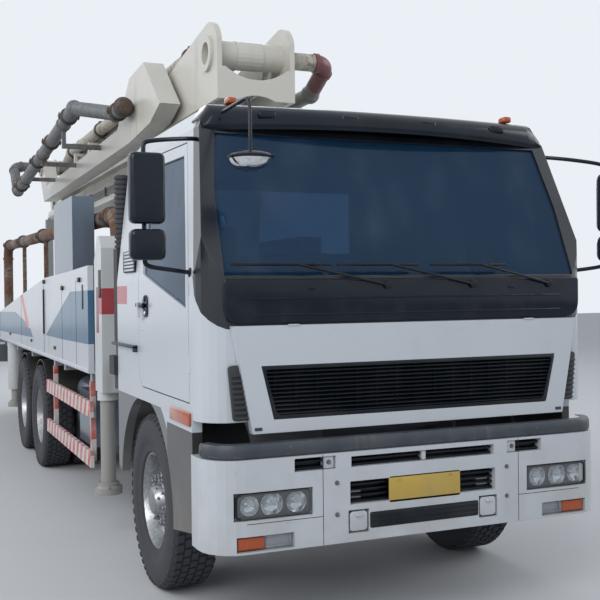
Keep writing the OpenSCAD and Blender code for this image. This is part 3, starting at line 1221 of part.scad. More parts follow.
module pipe_4() color("dimgray") truck() {
  difference() {
    union() {
      pipe_run([[pipe_3_x - 105 - swivel_gap, joint_d_y, joint_d_z], [pipe_4_x, joint_d_y, joint_d_z],
        [pipe_4_x, pipe_4_low[0], pipe_4_low[1]], [pipe_4_x, pipe_4_high[0], pipe_4_high[1]],
        [pipe_end[0], pipe_end[1] + 350, pipe_end[2]], pipe_end], pipe_d, elbow_r);
      rod_y(pipe_end[0], [pipe_end[1], pipe_end[1] + 60], pipe_end[2], pipe_d + 28);
    }
    rod_y(pipe_end[0], [pipe_end[1] - 1, pipe_end[1] + end_bore_len], pipe_end[2], pipe_bore);
  }
  for (y = [5800, 7300, 8900]) {
    z = pipe_4_low[1] + (pipe_4_high[1] - pipe_4_low[1]) * (y - pipe_4_low[0]) / (pipe_4_high[0] - pipe_4_low[0]);
    clamp([pipe_4_x, y, z], 3370, arm_4_x[0]);
  }
  block([pipe_end[0] + pipe_d / 2 - 3, arm_4_x[0]], [pipe_end[1] + 90, pipe_end[1] + 150],
    [pipe_end[2] - 30, pipe_end[2] + 30]);
}

// Lift cylinder between the turret and arm 1
lift_v = unit(lift_head - lift_foot);
lift_barrel_len = 1085;
lift_rod_start = 62;
module lift_barrel() color("silver") truck() difference() {
  union() {
    rod_x([-60, 60], lift_foot[0], lift_foot[1], 140);
    slant_rod(0, lift_foot, lift_foot + lift_v * lift_barrel_len, 170);
  }
  rod_x([-90, 90], lift_foot[0], lift_foot[1], lift_pin_d + pin_play);
  slant_rod(0, lift_foot + lift_v * 60, lift_foot + lift_v * (lift_barrel_len + 1), 91);
}
module lift_rod() color("whitesmoke") truck() {
  slant_rod(0, lift_foot + lift_v * lift_rod_start, lift_head - lift_v * 40, 90);
  rod_x([-40, 40], lift_head[0], lift_head[1], 110);
  rod_x([-44, 44], lift_head[0], lift_head[1], lift_head_pin_d);
}

// Rod of a fold cylinder: its place, the y of its inner end and of its eye, and the end of its pin
module fold_rod(place, y, pin_end) color("whitesmoke") truck() {
  rod_y(place[0], [min(y[0], y[1]), max(y[0], y[1])], place[1], fold_rod_d);
  rod_x([place[0] - 20, place[0] + 20], y[1], place[1], 100);
  rod_x([min(place[0], pin_end), max(place[0], pin_end)], y[1], place[1], 50);
}

frame();
axles();
powertrain();
cab_shell();
cab_glass();
front_lid();
grille();
bumper();
lamps();
black_trim();
cab_interior();
seats();
mirrors();
fenders();
air_intake();
door("left");  // door_left
door("right");  // door_right
door_glass("left");  // door_glass_left
door_glass("right");  // door_glass_right
knuckle("left");  // knuckle_left
knuckle("right");  // knuckle_right
front_wheel("left");  // front_wheel_left
front_wheel("right");  // front_wheel_right
twin_wheels("left", axle_2_y);  // mid_wheels_left
twin_wheels("right", axle_2_y);  // mid_wheels_right
twin_wheels("left", axle_3_y);  // rear_wheels_left
twin_wheels("right", axle_3_y);  // rear_wheels_right
deck();
side_panels();
side_guards();
tanks();
pedestal();
delivery_line();
delivery_bends();
pump_unit();
hopper();
hopper_grate();
agitator();
turret();
arm_1();
arm_2();
arm_3();
arm_4();
pipe_1();
pipe_2();
pipe_3();
pipe_4();
lift_barrel();
lift_rod();
fold_rod(fold_2, [fold_2_y[0] + 600, fold_2_y[2]], lever_2_x[0] - 3);  // fold_rod_2
fold_rod(fold_3, [fold_3_y[0] - 420, fold_3_y[2]], lever_3_x[1] + 3);  // fold_rod_3
fold_rod(fold_4, [fold_4_y[0] + 420, fold_4_y[2]], lever_4_x[1] + 3);  // fold_rod_4
front_beam("left");  // front_beam_left
front_beam("right");  // front_beam_right
front_leg("left");  // front_leg_left
front_leg("right");  // front_leg_right
rear_arm("left");  // rear_arm_left
rear_arm("right");  // rear_arm_right
rear_leg("left");  // rear_leg_left
rear_leg("right");  // rear_leg_right
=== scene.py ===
"""Looks of the concrete pump truck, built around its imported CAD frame.

Every place and size is in metres in the frame's own coordinates. The drawings give places along
the truck from the front bumper's face, so `along` turns such a place into the frame's y.
"""

from __future__ import annotations

import json
import logging
import math
from dataclasses import dataclass, field, replace
from enum import Enum
from typing import Any, Callable, Iterable, Sequence

import bmesh
import bpy
from mathutils import Matrix, Vector

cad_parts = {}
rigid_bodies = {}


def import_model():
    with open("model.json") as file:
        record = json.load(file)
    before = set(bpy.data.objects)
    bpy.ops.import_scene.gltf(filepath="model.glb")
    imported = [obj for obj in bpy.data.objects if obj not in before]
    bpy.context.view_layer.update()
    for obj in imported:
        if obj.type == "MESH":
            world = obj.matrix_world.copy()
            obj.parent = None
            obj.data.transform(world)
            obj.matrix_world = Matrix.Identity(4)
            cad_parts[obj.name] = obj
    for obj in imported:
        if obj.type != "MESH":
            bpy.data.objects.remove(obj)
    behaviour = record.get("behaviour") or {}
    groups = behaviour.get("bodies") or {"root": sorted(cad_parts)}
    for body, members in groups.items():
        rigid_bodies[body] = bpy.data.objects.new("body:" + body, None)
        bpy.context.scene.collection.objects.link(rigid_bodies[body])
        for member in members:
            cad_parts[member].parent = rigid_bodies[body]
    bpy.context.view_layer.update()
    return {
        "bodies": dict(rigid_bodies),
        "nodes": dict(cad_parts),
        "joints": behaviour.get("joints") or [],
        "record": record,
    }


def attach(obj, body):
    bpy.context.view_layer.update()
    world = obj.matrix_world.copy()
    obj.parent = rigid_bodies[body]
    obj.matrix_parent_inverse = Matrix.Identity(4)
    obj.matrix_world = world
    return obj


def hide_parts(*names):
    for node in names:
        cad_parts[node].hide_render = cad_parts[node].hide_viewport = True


LOG = logging.getLogger("pump_truck")

Colour = tuple[float, float, float]
Point = tuple[float, float, float]
Span = tuple[float, float]
Piece = bpy.types.Object
Material = bpy.types.Material

MIDDLE_Y = 5.836  # the frame's origin, behind the bumper's face
BEVEL_SAMPLES = 4
ORIGIN = Vector((0, 0, 0))
UP = Vector((0, 0, 1))
AHEAD = Vector((0, -1, 0))


def along(y: float) -> float:
    """The frame's y of a place y behind the bumper's face."""
    return y - MIDDLE_Y


class Side(Enum):
    """The two sides of the truck, with the sign of their x."""

    LEFT = 1
    RIGHT = -1

    @property
    def word(self) -> str:
        """The side's name as the nodes spell it."""
        return self.name.lower()


# ---------------------------------------------------------------- shader maths


def operator(kind: str, swapped: bool = False) -> Callable[[Value, Value | float], Value]:
    """Makes the method behind one sign between shader values.

    Args:
        kind: the Math node's operation; a comparison gives 1 or 0.
        swapped: whether the other value comes first.

    Returns:
        The method.
    """

    def method(self: Value, other: Value | float) -> Value:
        """Adds the sign's Math node for two values."""
        return self.graph.math(kind, *((other, self) if swapped else (self, other)))

    return method


class Value:
    """A shader value whose arithmetic adds Math nodes to its graph."""

    def __init__(self, graph: Graph, socket: bpy.types.NodeSocket) -> None:
        """Wraps a socket.

        Args:
            graph: the graph that the socket is in.
            socket: the output socket that carries the value.
        """
        self.graph = graph
        self.socket = socket

    def math(self, operation: str, *others: Value | float) -> Value:
        """Applies one Math operation to this value.

        Args:
            operation: the Math node's operation.
            others: its further inputs.

        Returns:
            The result.
        """
        return self.graph.math(operation, self, *others)

    __add__ = operator("ADD")
    __radd__ = operator("ADD", True)
    __sub__ = operator("SUBTRACT")
    __rsub__ = operator("SUBTRACT", True)
    __mul__ = operator("MULTIPLY")
    __rmul__ = operator("MULTIPLY", True)
    __truediv__ = operator("DIVIDE")
    __gt__ = operator("GREATER_THAN")
    __lt__ = operator("LESS_THAN")

    def step(self, low: float, high: float) -> Value:
        """A smooth step of this value.

        Args:
            low: where the step gives 0.
            high: where the step gives 1; it may be below low.

        Returns:
            The step's value.
        """
        kind = {"interpolation_type": "SMOOTHSTEP"}
        if low < high:
            inputs = {0: self, 1: low, 2: high, 3: 0.0, 4: 1.0}
        else:
            inputs = {0: self, 1: high, 2: low, 3: 1.0, 4: 0.0}
        return self.graph.node("ShaderNodeMapRange", kind, inputs)


class Graph:
    """The node tree of one material."""

    def __init__(self, name: str) -> None:
        """Starts an empty material called name."""
        self.material = bpy.data.materials.new(name)
        self.material.use_nodes = True
        self.tree = self.material.node_tree
        self.tree.nodes.clear()
        self._place: Value | None = None

    def node(
        self,
        kind: str,
        settings: dict[str, Any] | None = None,
        inputs: dict[int | str, Any] | None = None,
        output: int | str = 0,
    ) -> Value:
        """Adds one node.

        Args:
            kind: the node's type.
            settings: its properties, set first.
            inputs: values or links of its sockets, by place or name.
            output: the output that is wanted.

        Returns:
            The wanted output.
        """
        made = self.tree.nodes.new(kind)
        for name, value in (settings or {}).items():
            setattr(made, name, value)
        for key, value in (inputs or {}).items():
            socket = made.inputs[key]
            if isinstance(value, Value):
                self.tree.links.new(value.socket, socket)
            elif isinstance(value, tuple) and len(value) == 3 and socket.type == "RGBA":
                socket.default_value = (*value, 1.0)
            else:
                socket.default_value = value
        return Value(self, made.outputs[output])

    def math(self, operation: str, *values: Value | float) -> Value:
        """Adds a Math node.

        Args:
            operation: its operation.
            values: its inputs in order.

        Returns:
            Its value.
        """
        return self.node("ShaderNodeMath", {"operation": operation}, dict(enumerate(values)))

    def place(self) -> Value:
        """The Object coordinates of the shaded point."""
        if self._place is None:
            self._place = self.node("ShaderNodeTexCoord", output="Object")
        return self._place

    def axes(self) -> tuple[Value, Value, Value]:
        """The x, y and z of the shaded point."""
        parts = [self.node("ShaderNodeSeparateXYZ", None, {0: self.place()}, i) for i in range(3)]
        return parts[0], parts[1], parts[2]

    def noise(self, scale: float, detail: float = 3.0, stretch: Point | None = None) -> Value:
        """A noise over the surface.

        Args:
            scale: its fineness, in waves a metre.
            detail: its octaves.
            stretch: a stretch of the place along each axis.

        Returns:
            The noise, from 0 to 1.
        """
        at = self.place()
        if stretch is not None:
            at = self.node("ShaderNodeMapping", None, {"Vector": at, "Scale": stretch})
        return self.node("ShaderNodeTexNoise", None, {"Vector": at, "Scale": scale, "Detail": detail})

    def mix(self, first: Value | Colour, second: Value | Colour, share: Value | float) -> Value:
        """A mix of two colours.

        Args:
            first: the colour at share 0.
            second: the colour at share 1.
            share: the share of the second.

        Returns:
            The mixed colour.
        """
        kind = {"data_type": "RGBA", "clamp_factor": True}
        return self.node("ShaderNodeMix", kind, {0: share, 6: first, 7: second}, 2)

    def edges(self, radius: float) -> tuple[Value, Value]:
        """Rounded edges.

        Args:
            radius: the radius that edges seem to have.

        Returns:
            The rounded normal, and a mask that is 1 on edges.
        """
        soft = self.node("ShaderNodeBevel", {"samples": BEVEL_SAMPLES}, {"Radius": radius})
        true = self.node("ShaderNodeNewGeometry", output="True Normal")
        kind = {"operation": "DOT_PRODUCT"}
        near = self.node("ShaderNodeVectorMath", kind, {0: soft, 1: true}, "Value")
        return soft, near.step(0.985, 0.80)

    def bump(self, height: Value, strength: float, depth: float, normal: Value | None = None) -> Value:
        """A bumped normal.

        Args:
            height: the height, from 0 to 1.
            strength: the share of the effect.
            depth: what a height of 1 stands for, in metres.
            normal: the normal that is bumped, if not the surface's own.

        Returns:
            The normal.
        """
        inputs: dict[int | str, Any] = {"Strength": strength, "Distance": depth, "Height": height}
        if normal is not None:
            inputs["Normal"] = normal
        return self.node("ShaderNodeBump", None, inputs)

    def surface(self, **inputs: Any) -> Material:
        """Closes the material with a Principled shader.

        Args:
            inputs: its sockets' values or links, with _ for a space.

        Returns:
            The material.
        """
        named = {key.replace("_", " "): value for key, value in inputs.items()}
        shader = self.node("ShaderNodeBsdfPrincipled", None, named)
        return self.close(shader)

    def close(self, shader: Value) -> Material:
        """Links a shader to the material's output and returns the material."""
        out = self.tree.nodes.new("ShaderNodeOutputMaterial")
        self.tree.links.new(shader.socket, out.inputs["Surface"])
        return self.material


# ---------------------------------------------------------------- finishes


@dataclass(frozen=True)
class Zone:
    """A painted area: a convex outline of (y behind the bumper, z) points, seen from the side."""

    colour: Colour
    corners: tuple[Span, ...]

    def mask(self, g: Graph) -> Value:
        """The zone's mask.

        Args:
            g: the graph that gets its nodes.

        Returns:
            1 inside the outline, else 0.
        """
        _, y, z = g.axes()
        inside: Value | None = None
        for (a0, b0), (a1, b1) in zip(self.corners, self.corners[1:] + self.corners[:1]):
            a0, a1 = along(a0), along(a1)
            across = (y - a0) * (b1 - b0) - (z - b0) * (a1 - a0)
            edge = across < 0.0
            inside = edge if inside is None else inside * edge
        return inside


@dataclass(frozen=True)
class Finish:
    """A finish of one kind, made into a material once."""

    name: str
    colour: Colour
    roughness: float = 0.5

    def build(self, g: Graph) -> Material:
        """Builds the material in g and returns it."""
        raise NotImplementedError

    def material(self) -> Material:
        """The finish's material, built when first asked for."""
        found = bpy.data.materials.get(self.name)
        return found or self.build(Graph(self.name))


@dataclass(frozen=True)
class Paint(Finish):
    """Sprayed paint with road dust, rain streaks, grime and worn edges."""

    zones: tuple[Zone, ...] = ()
    dust: float = 0.35
    dust_top: float = 1.4
    streaks: float = 0.35
    wear: float = 0.5
    bare: Colour = (0.16, 0.11, 0.08)
    soil: Colour = (0.30, 0.27, 0.23)
    coat: float = 0.4
    edge: float = 0.004

    def base(self, g: Graph) -> Value | Colour:
        """The clean colour with its painted zones."""
        colour: Value | Colour = self.colour
        for zone in self.zones:
            colour = g.mix(colour, zone.colour, zone.mask(g))
        return colour

    def build(self, g: Graph) -> Material:
        """Builds the paint.

        Args:
            g: the graph that gets its nodes.

        Returns:
            The material.
        """
        _, _, z = g.axes()
        colour = self.base(g)
        cloudy = g.noise(1.3, 4.0)
        dull = tuple(c * 0.8 for c in self.soil)
        colour = g.mix(colour, self.soil, cloudy.step(0.45, 0.85) * (0.35 * self.streaks + 0.05))
        runs = g.noise(7.0, 3.0, (1.0, 1.0, 0.07)).step(0.55, 0.78)
        patches = g.noise(2.4, 2.0).step(0.4, 0.7)
        colour = g.mix(colour, dull, runs * patches * self.streaks)
        low = z.step(self.dust_top, 0.25) * (g.noise(5.0, 5.0).step(0.25, 0.75) * 0.7 + 0.3)
        colour = g.mix(colour, self.soil, low * self.dust)
        normal, corner = g.edges(self.edge)
        chips = g.noise(38.0, 4.0).step(0.50, 0.62)
        worn = corner * chips * self.wear
        flecks = g.noise(60.0, 2.0).step(0.735, 0.76) * (0.7 * self.wear)
        bare = worn.math("MAXIMUM", flecks)
        colour = g.mix(colour, self.bare, bare)
        rough = low * (0.5 * self.dust) + runs * (0.25 * self.streaks) + self.roughness + bare * 0.2
        skin = g.noise(160.0, 2.0)
        return g.surface(
            Base_Color=colour,
            Roughness=rough.math("MINIMUM", 1.0),
            Coat_Weight=self.coat,
            Coat_Roughness=0.15,
            Normal=g.bump(skin, 0.05, 0.001, normal),
        )


@dataclass(frozen=True)
class ArchPaint(Paint):
    """The arches' paint: white outside, a grey flare round the wheel, near black inside and behind, and near
    black on the arch's lower front; inside, the near black is partly the dark liner and partly painted shade,
    and on the lower front it is painted shade.
    """

    flare: Colour = (0.10, 0.11, 0.12)
    # near black of the arch's inside: the liner's own dark colour together with painted shade
    inside: Colour = (0.012, 0.013, 0.015)
    wheel: Span = (1.330, 0.531)
    flare_r: float = 0.735

    def base(self, g: Graph) -> Value | Colour:
        """The clean colour: white, the flare, and the near black inside, which is partly painted shade."""
        x, y, z = g.axes()
        across = y - along(self.wheel[0])
        above = z - self.wheel[1]
        reach = (across * across + above * above).math("SQRT")
        colour = g.mix(self.colour, self.flare, (reach < self.flare_r).math("MAXIMUM", across > 0.0))
        # painted shade: the lower front beside the bumper and the inner faces are made near black; on the
        # inner faces this is also the liner's own dark colour
        before = (y < along(0.80)) * (z < 1.085)
        inner = (x.math("ABSOLUTE") < 1.146).math("MAXIMUM", before)
        behind = y > along(3.0)
        return g.mix(colour, self.inside, inner.math("MAXIMUM", behind))


@dataclass(frozen=True)
class BarredPaint(Paint):
    """Paint with warning bars along the truck."""

    bars: Colour = (0.55, 0.05, 0.04)
    pitch: float = 0.17
    slope: float = 0.5

    def build(self, g: Graph) -> Material:
        """Builds the barred paint.

        Args:
            g: the graph that gets its nodes.

        Returns:
            The material.
        """
        _, y, z = g.axes()
        phase = (y + z * self.slope) / self.pitch
        bar = phase.math("FRACT") < 0.5
        rubbed = g.noise(9.0, 5.0).step(0.35, 0.65)
        faded = g.mix(self.bars, self.colour, rubbed * 0.45)
        colour = g.mix(self.colour, faded, bar)
        dirt = g.noise(14.0, 5.0, (1.0, 1.0, 0.4)).step(0.45, 0.75)
        colour = g.mix(colour, self.soil, dirt * self.streaks)
        normal, corner = g.edges(self.edge)
        worn = corner * g.noise(38.0, 4.0).step(0.45, 0.6) * self.wear
        colour = g.mix(colour, self.bare, worn)
        return g.surface(Base_Color=colour, Roughness=dirt * 0.2 + self.roughness, Normal=normal)


@dataclass(frozen=True)
class Moulding(Finish):
    """Black or grey moulded plastic or rubber, with a fine grain and settled dust."""

    grain: float = 220.0
    grain_depth: float = 0.3
    dust: float = 0.3
    soil: Colour = (0.20, 0.18, 0.16)

    def build(self, g: Graph) -> Material:
        """Builds the moulding.

        Args:
            g: the graph that gets its nodes.

        Returns:
            The material.
        """
        _, _, z = g.axes()
        settled = g.noise(6.0, 5.0).step(0.40, 0.75) * (z.step(2.4, 0.2) * 0.7 + 0.3)
        smears = g.noise(3.0, 4.0, (1.0, 1.0, 0.2)).step(0.5, 0.8)
        colour = g.mix(self.colour, self.soil, settled * self.dust + smears * (0.3 * self.dust))
        normal, _ = g.edges(0.003)
        return g.surface(
            Base_Color=colour,
            Roughness=settled * 0.3 + self.roughness,
            Specular_IOR_Level=0.32,
            Normal=g.bump(g.noise(self.grain, 2.0), self.grain_depth, 0.0008, normal),
        )


@dataclass(frozen=True)
class Metal(Finish):
    """Bare, brushed or plated metal, with rust or oil where it is old."""

    rust: float = 0.0
    rust_colour: Colour = (0.20, 0.085, 0.04)
    brushed: float = 0.3
    metallic: float = 1.0

    def build(self, g: Graph) -> Material:
        """Builds the metal.

        Args:
            g: the graph that gets its nodes.

        Returns:
            The material.
        """
        spots = g.noise(9.0, 7.0).step(0.62 - 0.3 * self.rust, 0.75) * self.rust
        fine = g.noise(45.0, 5.0)
        dark = tuple(c * 0.72 for c in self.colour)
        colour = g.mix(self.colour, dark, fine.step(0.35, 0.7))
        rusty = g.mix(self.rust_colour, tuple(c * 0.55 for c in self.rust_colour), fine)
        colour = g.mix(colour, rusty, spots)
        normal, _ = g.edges(0.003)
        return g.surface(
            Base_Color=colour,
            Metallic=(1.0 - spots) * self.metallic,
            Roughness=spots * 0.5 + self.roughness + fine * (0.2 * self.brushed),
            Normal=g.bump(fine, 0.25 * self.brushed, 0.001, normal),
        )


@dataclass(frozen=True)
class Pipe(Finish):
    """A concrete line's pipe: old paint, rust at the clamps and dried concrete."""

    rust: float = 0.5
    rust_colour: Colour = (0.17, 0.075, 0.045)
    cement: Colour = (0.36, 0.35, 0.33)

    def build(self, g: Graph) -> Material:
        """Builds the pipe's finish.

        Args:
            g: the graph that gets its nodes.

        Returns:
            The material.
        """
        broad = g.noise(2.2, 6.0)
        fine = g.noise(26.0, 6.0)
        patch = (broad * 0.6 + fine * 0.4).step(0.60 - 0.22 * self.rust, 0.66 - 0.12 * self.rust)
        colour = g.mix(self.colour, tuple(c * 0.75 for c in self.colour), fine.step(0.3, 0.7))
        deep = g.mix(self.rust_colour, tuple(c * 0.5 for c in self.rust_colour), fine)
        colour = g.mix(colour, deep, patch * (0.4 + 0.6 * self.rust))
        crust = g.noise(11.0, 8.0).step(0.60, 0.72)
        colour = g.mix(colour, self.cement, crust * 0.7)
        normal, corner = g.edges(0.004)
        colour = g.mix(colour, self.rust_colour, corner * fine.step(0.4, 0.6) * 0.8)
        height = crust * 0.6 + fine * 0.4
        return g.surface(
            Base_Color=colour,
            Roughness=patch * 0.25 + crust * 0.25 + self.roughness,
            Normal=g.bump(height, 0.5, 0.002, normal),
        )


@dataclass(frozen=True)
class Pane(Finish):
    """Tinted window glass: clear seen straight, and a mirror of the sky at a slant."""

    opacity: float = 0.3

    def build(self, g: Graph) -> Material:
        """Builds the glass.

        Args:
            g: the graph that gets its nodes.

        Returns:
            The material.
        """
        clear = g.node("ShaderNodeBsdfTransparent", None, {"Color": self.colour})
        film = g.noise(4.0, 6.0, (1.0, 1.0, 0.5)).step(0.45, 0.8)
        slant = g.node("ShaderNodeFresnel", None, {"IOR": 1.5})
        dusty = g.mix((0.018, 0.070, 0.150), (0.10, 0.15, 0.21), film * 0.30)
        gloss = g.node(
            "ShaderNodeBsdfPrincipled",
            None,
            {"Base Color": dusty, "Roughness": film * 0.08 + self.roughness, "IOR": 1.5},
        )
        share = (slant * 1.2 + film * 0.10 + self.opacity).math("MINIMUM", 1.0)
        return g.close(g.node("ShaderNodeMixShader", None, {0: share, 1: clear, 2: gloss}))


@dataclass(frozen=True)
class Lens(Finish):
    """Moulded clear or coloured lamp lens with fine ribs."""

    ribs: float = 70.0
    clear: float = 0.6

    def build(self, g: Graph) -> Material:
        """Builds the lens.

        Args:
            g: the graph that gets its nodes.

        Returns:
            The material.
        """
        x, _, _ = g.axes()
        wave = (x * self.ribs * math.tau).math("SINE") * 0.5 + 0.5
        dirt = g.noise(20.0, 4.0).step(0.5, 0.8)
        see = g.node("ShaderNodeBsdfTransparent", None, {"Color": self.colour})
        body = g.node(
            "ShaderNodeBsdfPrincipled",
            None,
            {
                "Base Color": g.mix(self.colour, (0.25, 0.23, 0.2), dirt * 0.3),
                "Roughness": self.roughness,
                "Coat Weight": 1.0,
                "Normal": g.bump(wave, 0.4, 0.002),
            },
        )
        share = g.node("ShaderNodeFresnel", None, {"IOR": 1.4}) * 0.8 + (1.0 - self.clear)
        return g.close(g.node("ShaderNodeMixShader", None, {0: share, 1: see, 2: body}))


@dataclass(frozen=True)
class Cloth(Finish):
    """Woven seat cloth on the piece's own places."""

    threads: float = 420.0

    def build(self, g: Graph) -> Material:
        """Builds the cloth.

        Args:
            g: the graph that gets its nodes.

        Returns:
            The material.
        """
        x, y, z = g.axes()
        warp = (x * self.threads * 3.0).math("SINE")
        weft = ((y + z) * self.threads * 3.0).math("SINE")
        weave = (warp * weft) * 0.5 + 0.5
        faded = g.noise(7.0, 4.0)
        colour = g.mix(self.colour, tuple(min(1.0, c * 1.9) for c in self.colour), weave * 0.5)
        colour = g.mix(colour, (0.20, 0.19, 0.18), faded.step(0.5, 0.8) * 0.3)
        return g.surface(
            Base_Color=colour,
            Roughness=self.roughness,
            Sheen_Weight=0.4,
            Normal=g.bump(weave, 0.3, 0.0006),
        )


@dataclass(frozen=True)
class Floor(Finish):
    """The studio's pale floor, a little cloudy."""

    def build(self, g: Graph) -> Material:
        """Builds the floor.

        Args:
            g: the graph that gets its nodes.

        Returns:
            The material.
        """
        cloud = g.noise(0.35, 4.0)
        colour = g.mix(self.colour, tuple(c * 0.93 for c in self.colour), cloud)
        return g.surface(Base_Color=colour, Roughness=self.roughness)


WHITE = (0.55, 0.585, 0.63)
STEEL_BLUE = (0.055, 0.135, 0.23)
ORANGE = (0.62, 0.12, 0.05)
DARK_RED = (0.17, 0.02, 0.03)
SOFT_RED = (0.40, 0.045, 0.06)
GLOSS_BLACK = (0.004, 0.007, 0.012)


class Finishes:
    """All finishes of the truck, by plain names."""

    cab_white = Paint("cab_white_paint", WHITE, 0.28, dust=0.45, dust_top=1.5, streaks=0.22, wear=0.35)
    cream = Paint("boom_cream_paint", (0.60, 0.58, 0.52), 0.38, dust=0.1, streaks=0.6, wear=0.8)
    panel = Paint(
        "panel_paint_with_blue",
        WHITE,
        0.32,
        zones=(
            Zone(STEEL_BLUE, ((2.80, 1.41), (4.18, 1.41), (5.20, 1.40), (3.75, 1.83), (2.80, 1.84))),
            Zone(
                STEEL_BLUE,
                ((5.27, 1.36), (10.40, 1.30), (10.40, 1.56), (9.4, 1.575), (7.05, 1.80), (6.35, 1.47)),
            ),
            Zone(WHITE, ((5.27, 1.47), (6.45, 1.44), (6.95, 1.83), (5.27, 1.96))),
            Zone(ORANGE, ((6.40, 1.46), (6.60, 1.44), (7.12, 1.80), (6.92, 1.83))),
        ),
        dust=0.3,
        dust_top=1.5,
        streaks=0.3,
        wear=0.4,
    )
    beam = Paint(
        "outrigger_paint",
        (0.56, 0.59, 0.60),
        0.36,
        zones=(
            Zone(SOFT_RED, ((2.49, 1.66), (2.60, 1.66), (2.60, 1.85), (2.49, 1.85))),
            Zone(DARK_RED, ((2.60, 1.52), (2.70, 1.52), (2.70, 1.86), (2.60, 1.86))),
        ),
        dust=0.45,
        streaks=0.5,
        wear=0.6,
    )
    grey_paint = Paint("dusty_grey_paint", (0.33, 0.34, 0.34), 0.45, dust=0.4, streaks=0.6, wear=0.7)
    chassis = Paint(
        "chassis_paint", (0.030, 0.033, 0.038), 0.5, dust=0.6, dust_top=1.3, streaks=0.4, wear=0.4, coat=0.0
    )
    tank = Paint("tank_paint", (0.075, 0.09, 0.115), 0.32, dust=0.25, dust_top=2.8, streaks=0.45, wear=0.4)
    hopper = Paint(
        "hopper_paint", (0.26, 0.27, 0.27), 0.55, dust=0.5, dust_top=1.8, streaks=0.8, wear=0.9, coat=0.0
    )
    guard = BarredPaint("guard_barred_paint", (0.60, 0.60, 0.58), 0.4, streaks=0.5)
    cab_body = replace(
        cab_white,
        name="cab_body_paint",
        zones=(
            Zone(
                GLOSS_BLACK,
                ((-1.0, 1.62), (0.11, 1.62), (0.20, 1.71), (0.255, 1.80), (0.27, 1.90), (-1.0, 1.90)),
            ),
            Zone(GLOSS_BLACK, ((-1.0, 1.88), (0.25, 1.88), (0.56, 2.79), (-1.0, 2.79))),
            Zone(SOFT_RED, ((1.76, 1.74), (2.10, 1.74), (2.10, 1.86), (1.75, 1.86))),
        ),
    )
    visor = Moulding("visor_plastic", (0.004, 0.009, 0.018), 0.16, grain_depth=0.02, dust=0.07)
    grille = Moulding("grille_plastic", (0.003, 0.006, 0.010), 0.32, grain_depth=0.1, dust=0.08)
    lamp_dark = Moulding("lamp_housing_plastic", (0.005, 0.006, 0.009), 0.3, grain_depth=0.1, dust=0.08)
    piping = Moulding("seat_piping", (0.03, 0.032, 0.036), 0.6, dust=0.1)
    strip = Paint(
        "worn_step_paint", (
            0.020, 0.032, 0.050
        ), 0.45, dust=0.45, streaks=0.35, wear=1.0, bare=(0.30, 0.29, 0.27), coat=0.1
    )
    plate = Paint("blank_plate_paint", (0.55, 0.36, 0.03), 0.4, dust=0.4, streaks=0.4, wear=0.5)
    clamp = Metal("clamp_steel", (0.12, 0.115, 0.11), 0.5, rust=0.7, brushed=0.6)
    pipe_red_end = Paint(
        "pipe_paint_with_red_end",
        (0.17, 0.165, 0.16),
        0.5,
        zones=(Zone((0.15, 0.02, 0.03), ((2.50, 3.0), (2.95, 3.0), (2.95, 4.2), (2.50, 4.2))),),
        dust=0.1,
        streaks=0.8,
        wear=0.9,
    )
    plastic = Moulding("black_plastic", (0.005, 0.008, 0.012), 0.34, grain_depth=0.12, dust=0.10)
    mirror_case = Moulding("mirror_case_plastic", (0.004, 0.009, 0.018), 0.18, grain_depth=0.03, dust=0.06)
    dash = Moulding("dashboard_plastic", (0.05, 0.052, 0.055), 0.6, dust=0.2)
    rubber = Moulding("tyre_rubber", (0.018, 0.018, 0.019), 0.75, grain=90.0, dust=0.65)
    hose = Moulding("hose_rubber", (0.012, 0.012, 0.013), 0.5, grain=120.0, dust=0.35)
    glass = Pane("window_glass", (0.50, 0.64, 0.78), 0.03, opacity=0.34)
    lens = Lens("clear_lens", (0.90, 0.92, 0.93), 0.06, clear=0.93)
    amber = Lens("amber_lens", (0.62, 0.11, 0.015), 0.12, clear=0.35)
    red_lens = Lens("red_lens", (0.55, 0.02, 0.02), 0.12, clear=0.2)
    bowl = Metal("lamp_reflector", (0.75, 0.76, 0.78), 0.12, brushed=0.05)
    silver = Metal("mirror_silver", (0.80, 0.82, 0.84), 0.03, brushed=0.0)
    rim = Metal("wheel_rim_metal", (0.42, 0.43, 0.45), 0.30, rust=0.35, brushed=0.6)
    steel = Metal("machined_steel", (0.45, 0.46, 0.47), 0.28, rust=0.3, brushed=0.5)
    chrome = Metal("rod_chrome", (0.72, 0.73, 0.75), 0.08, brushed=0.1)
    bolt = Metal("bolt_steel", (0.22, 0.22, 0.23), 0.4, rust=0.6, brushed=0.5)
    pipe_rust = Pipe("rusty_pipe", (0.20, 0.16, 0.13), 0.6, rust=0.9)
    pipe_grey = Pipe("grey_pipe", (0.16, 0.165, 0.17), 0.5, rust=0.35)
    pipe_cream = Pipe("cream_pipe", (0.50, 0.47, 0.40), 0.5, rust=0.3)
    cloth = Cloth("seat_cloth", (0.045, 0.05, 0.06), 0.9)
    arch = ArchPaint("arch_paint", WHITE, 0.3, dust=0.5, dust_top=1.3, streaks=0.25, wear=0.35)
    leg = Paint("leg_paint", (0.30, 0.30, 0.29), 0.45, dust=0.5, streaks=0.7, wear=0.9)
    lamp_body = Lens("lamp_body_lens", (0.78, 0.80, 0.82), 0.08, clear=0.72)
    floor = Floor("studio_floor", (0.62, 0.63, 0.65), 0.85)


# ---------------------------------------------------------------- workbench


def spot(x: float, y: float, z: float) -> Vector:
    """The frame's point at x, y behind the bumper and z."""
    return Vector((x, along(y), z))


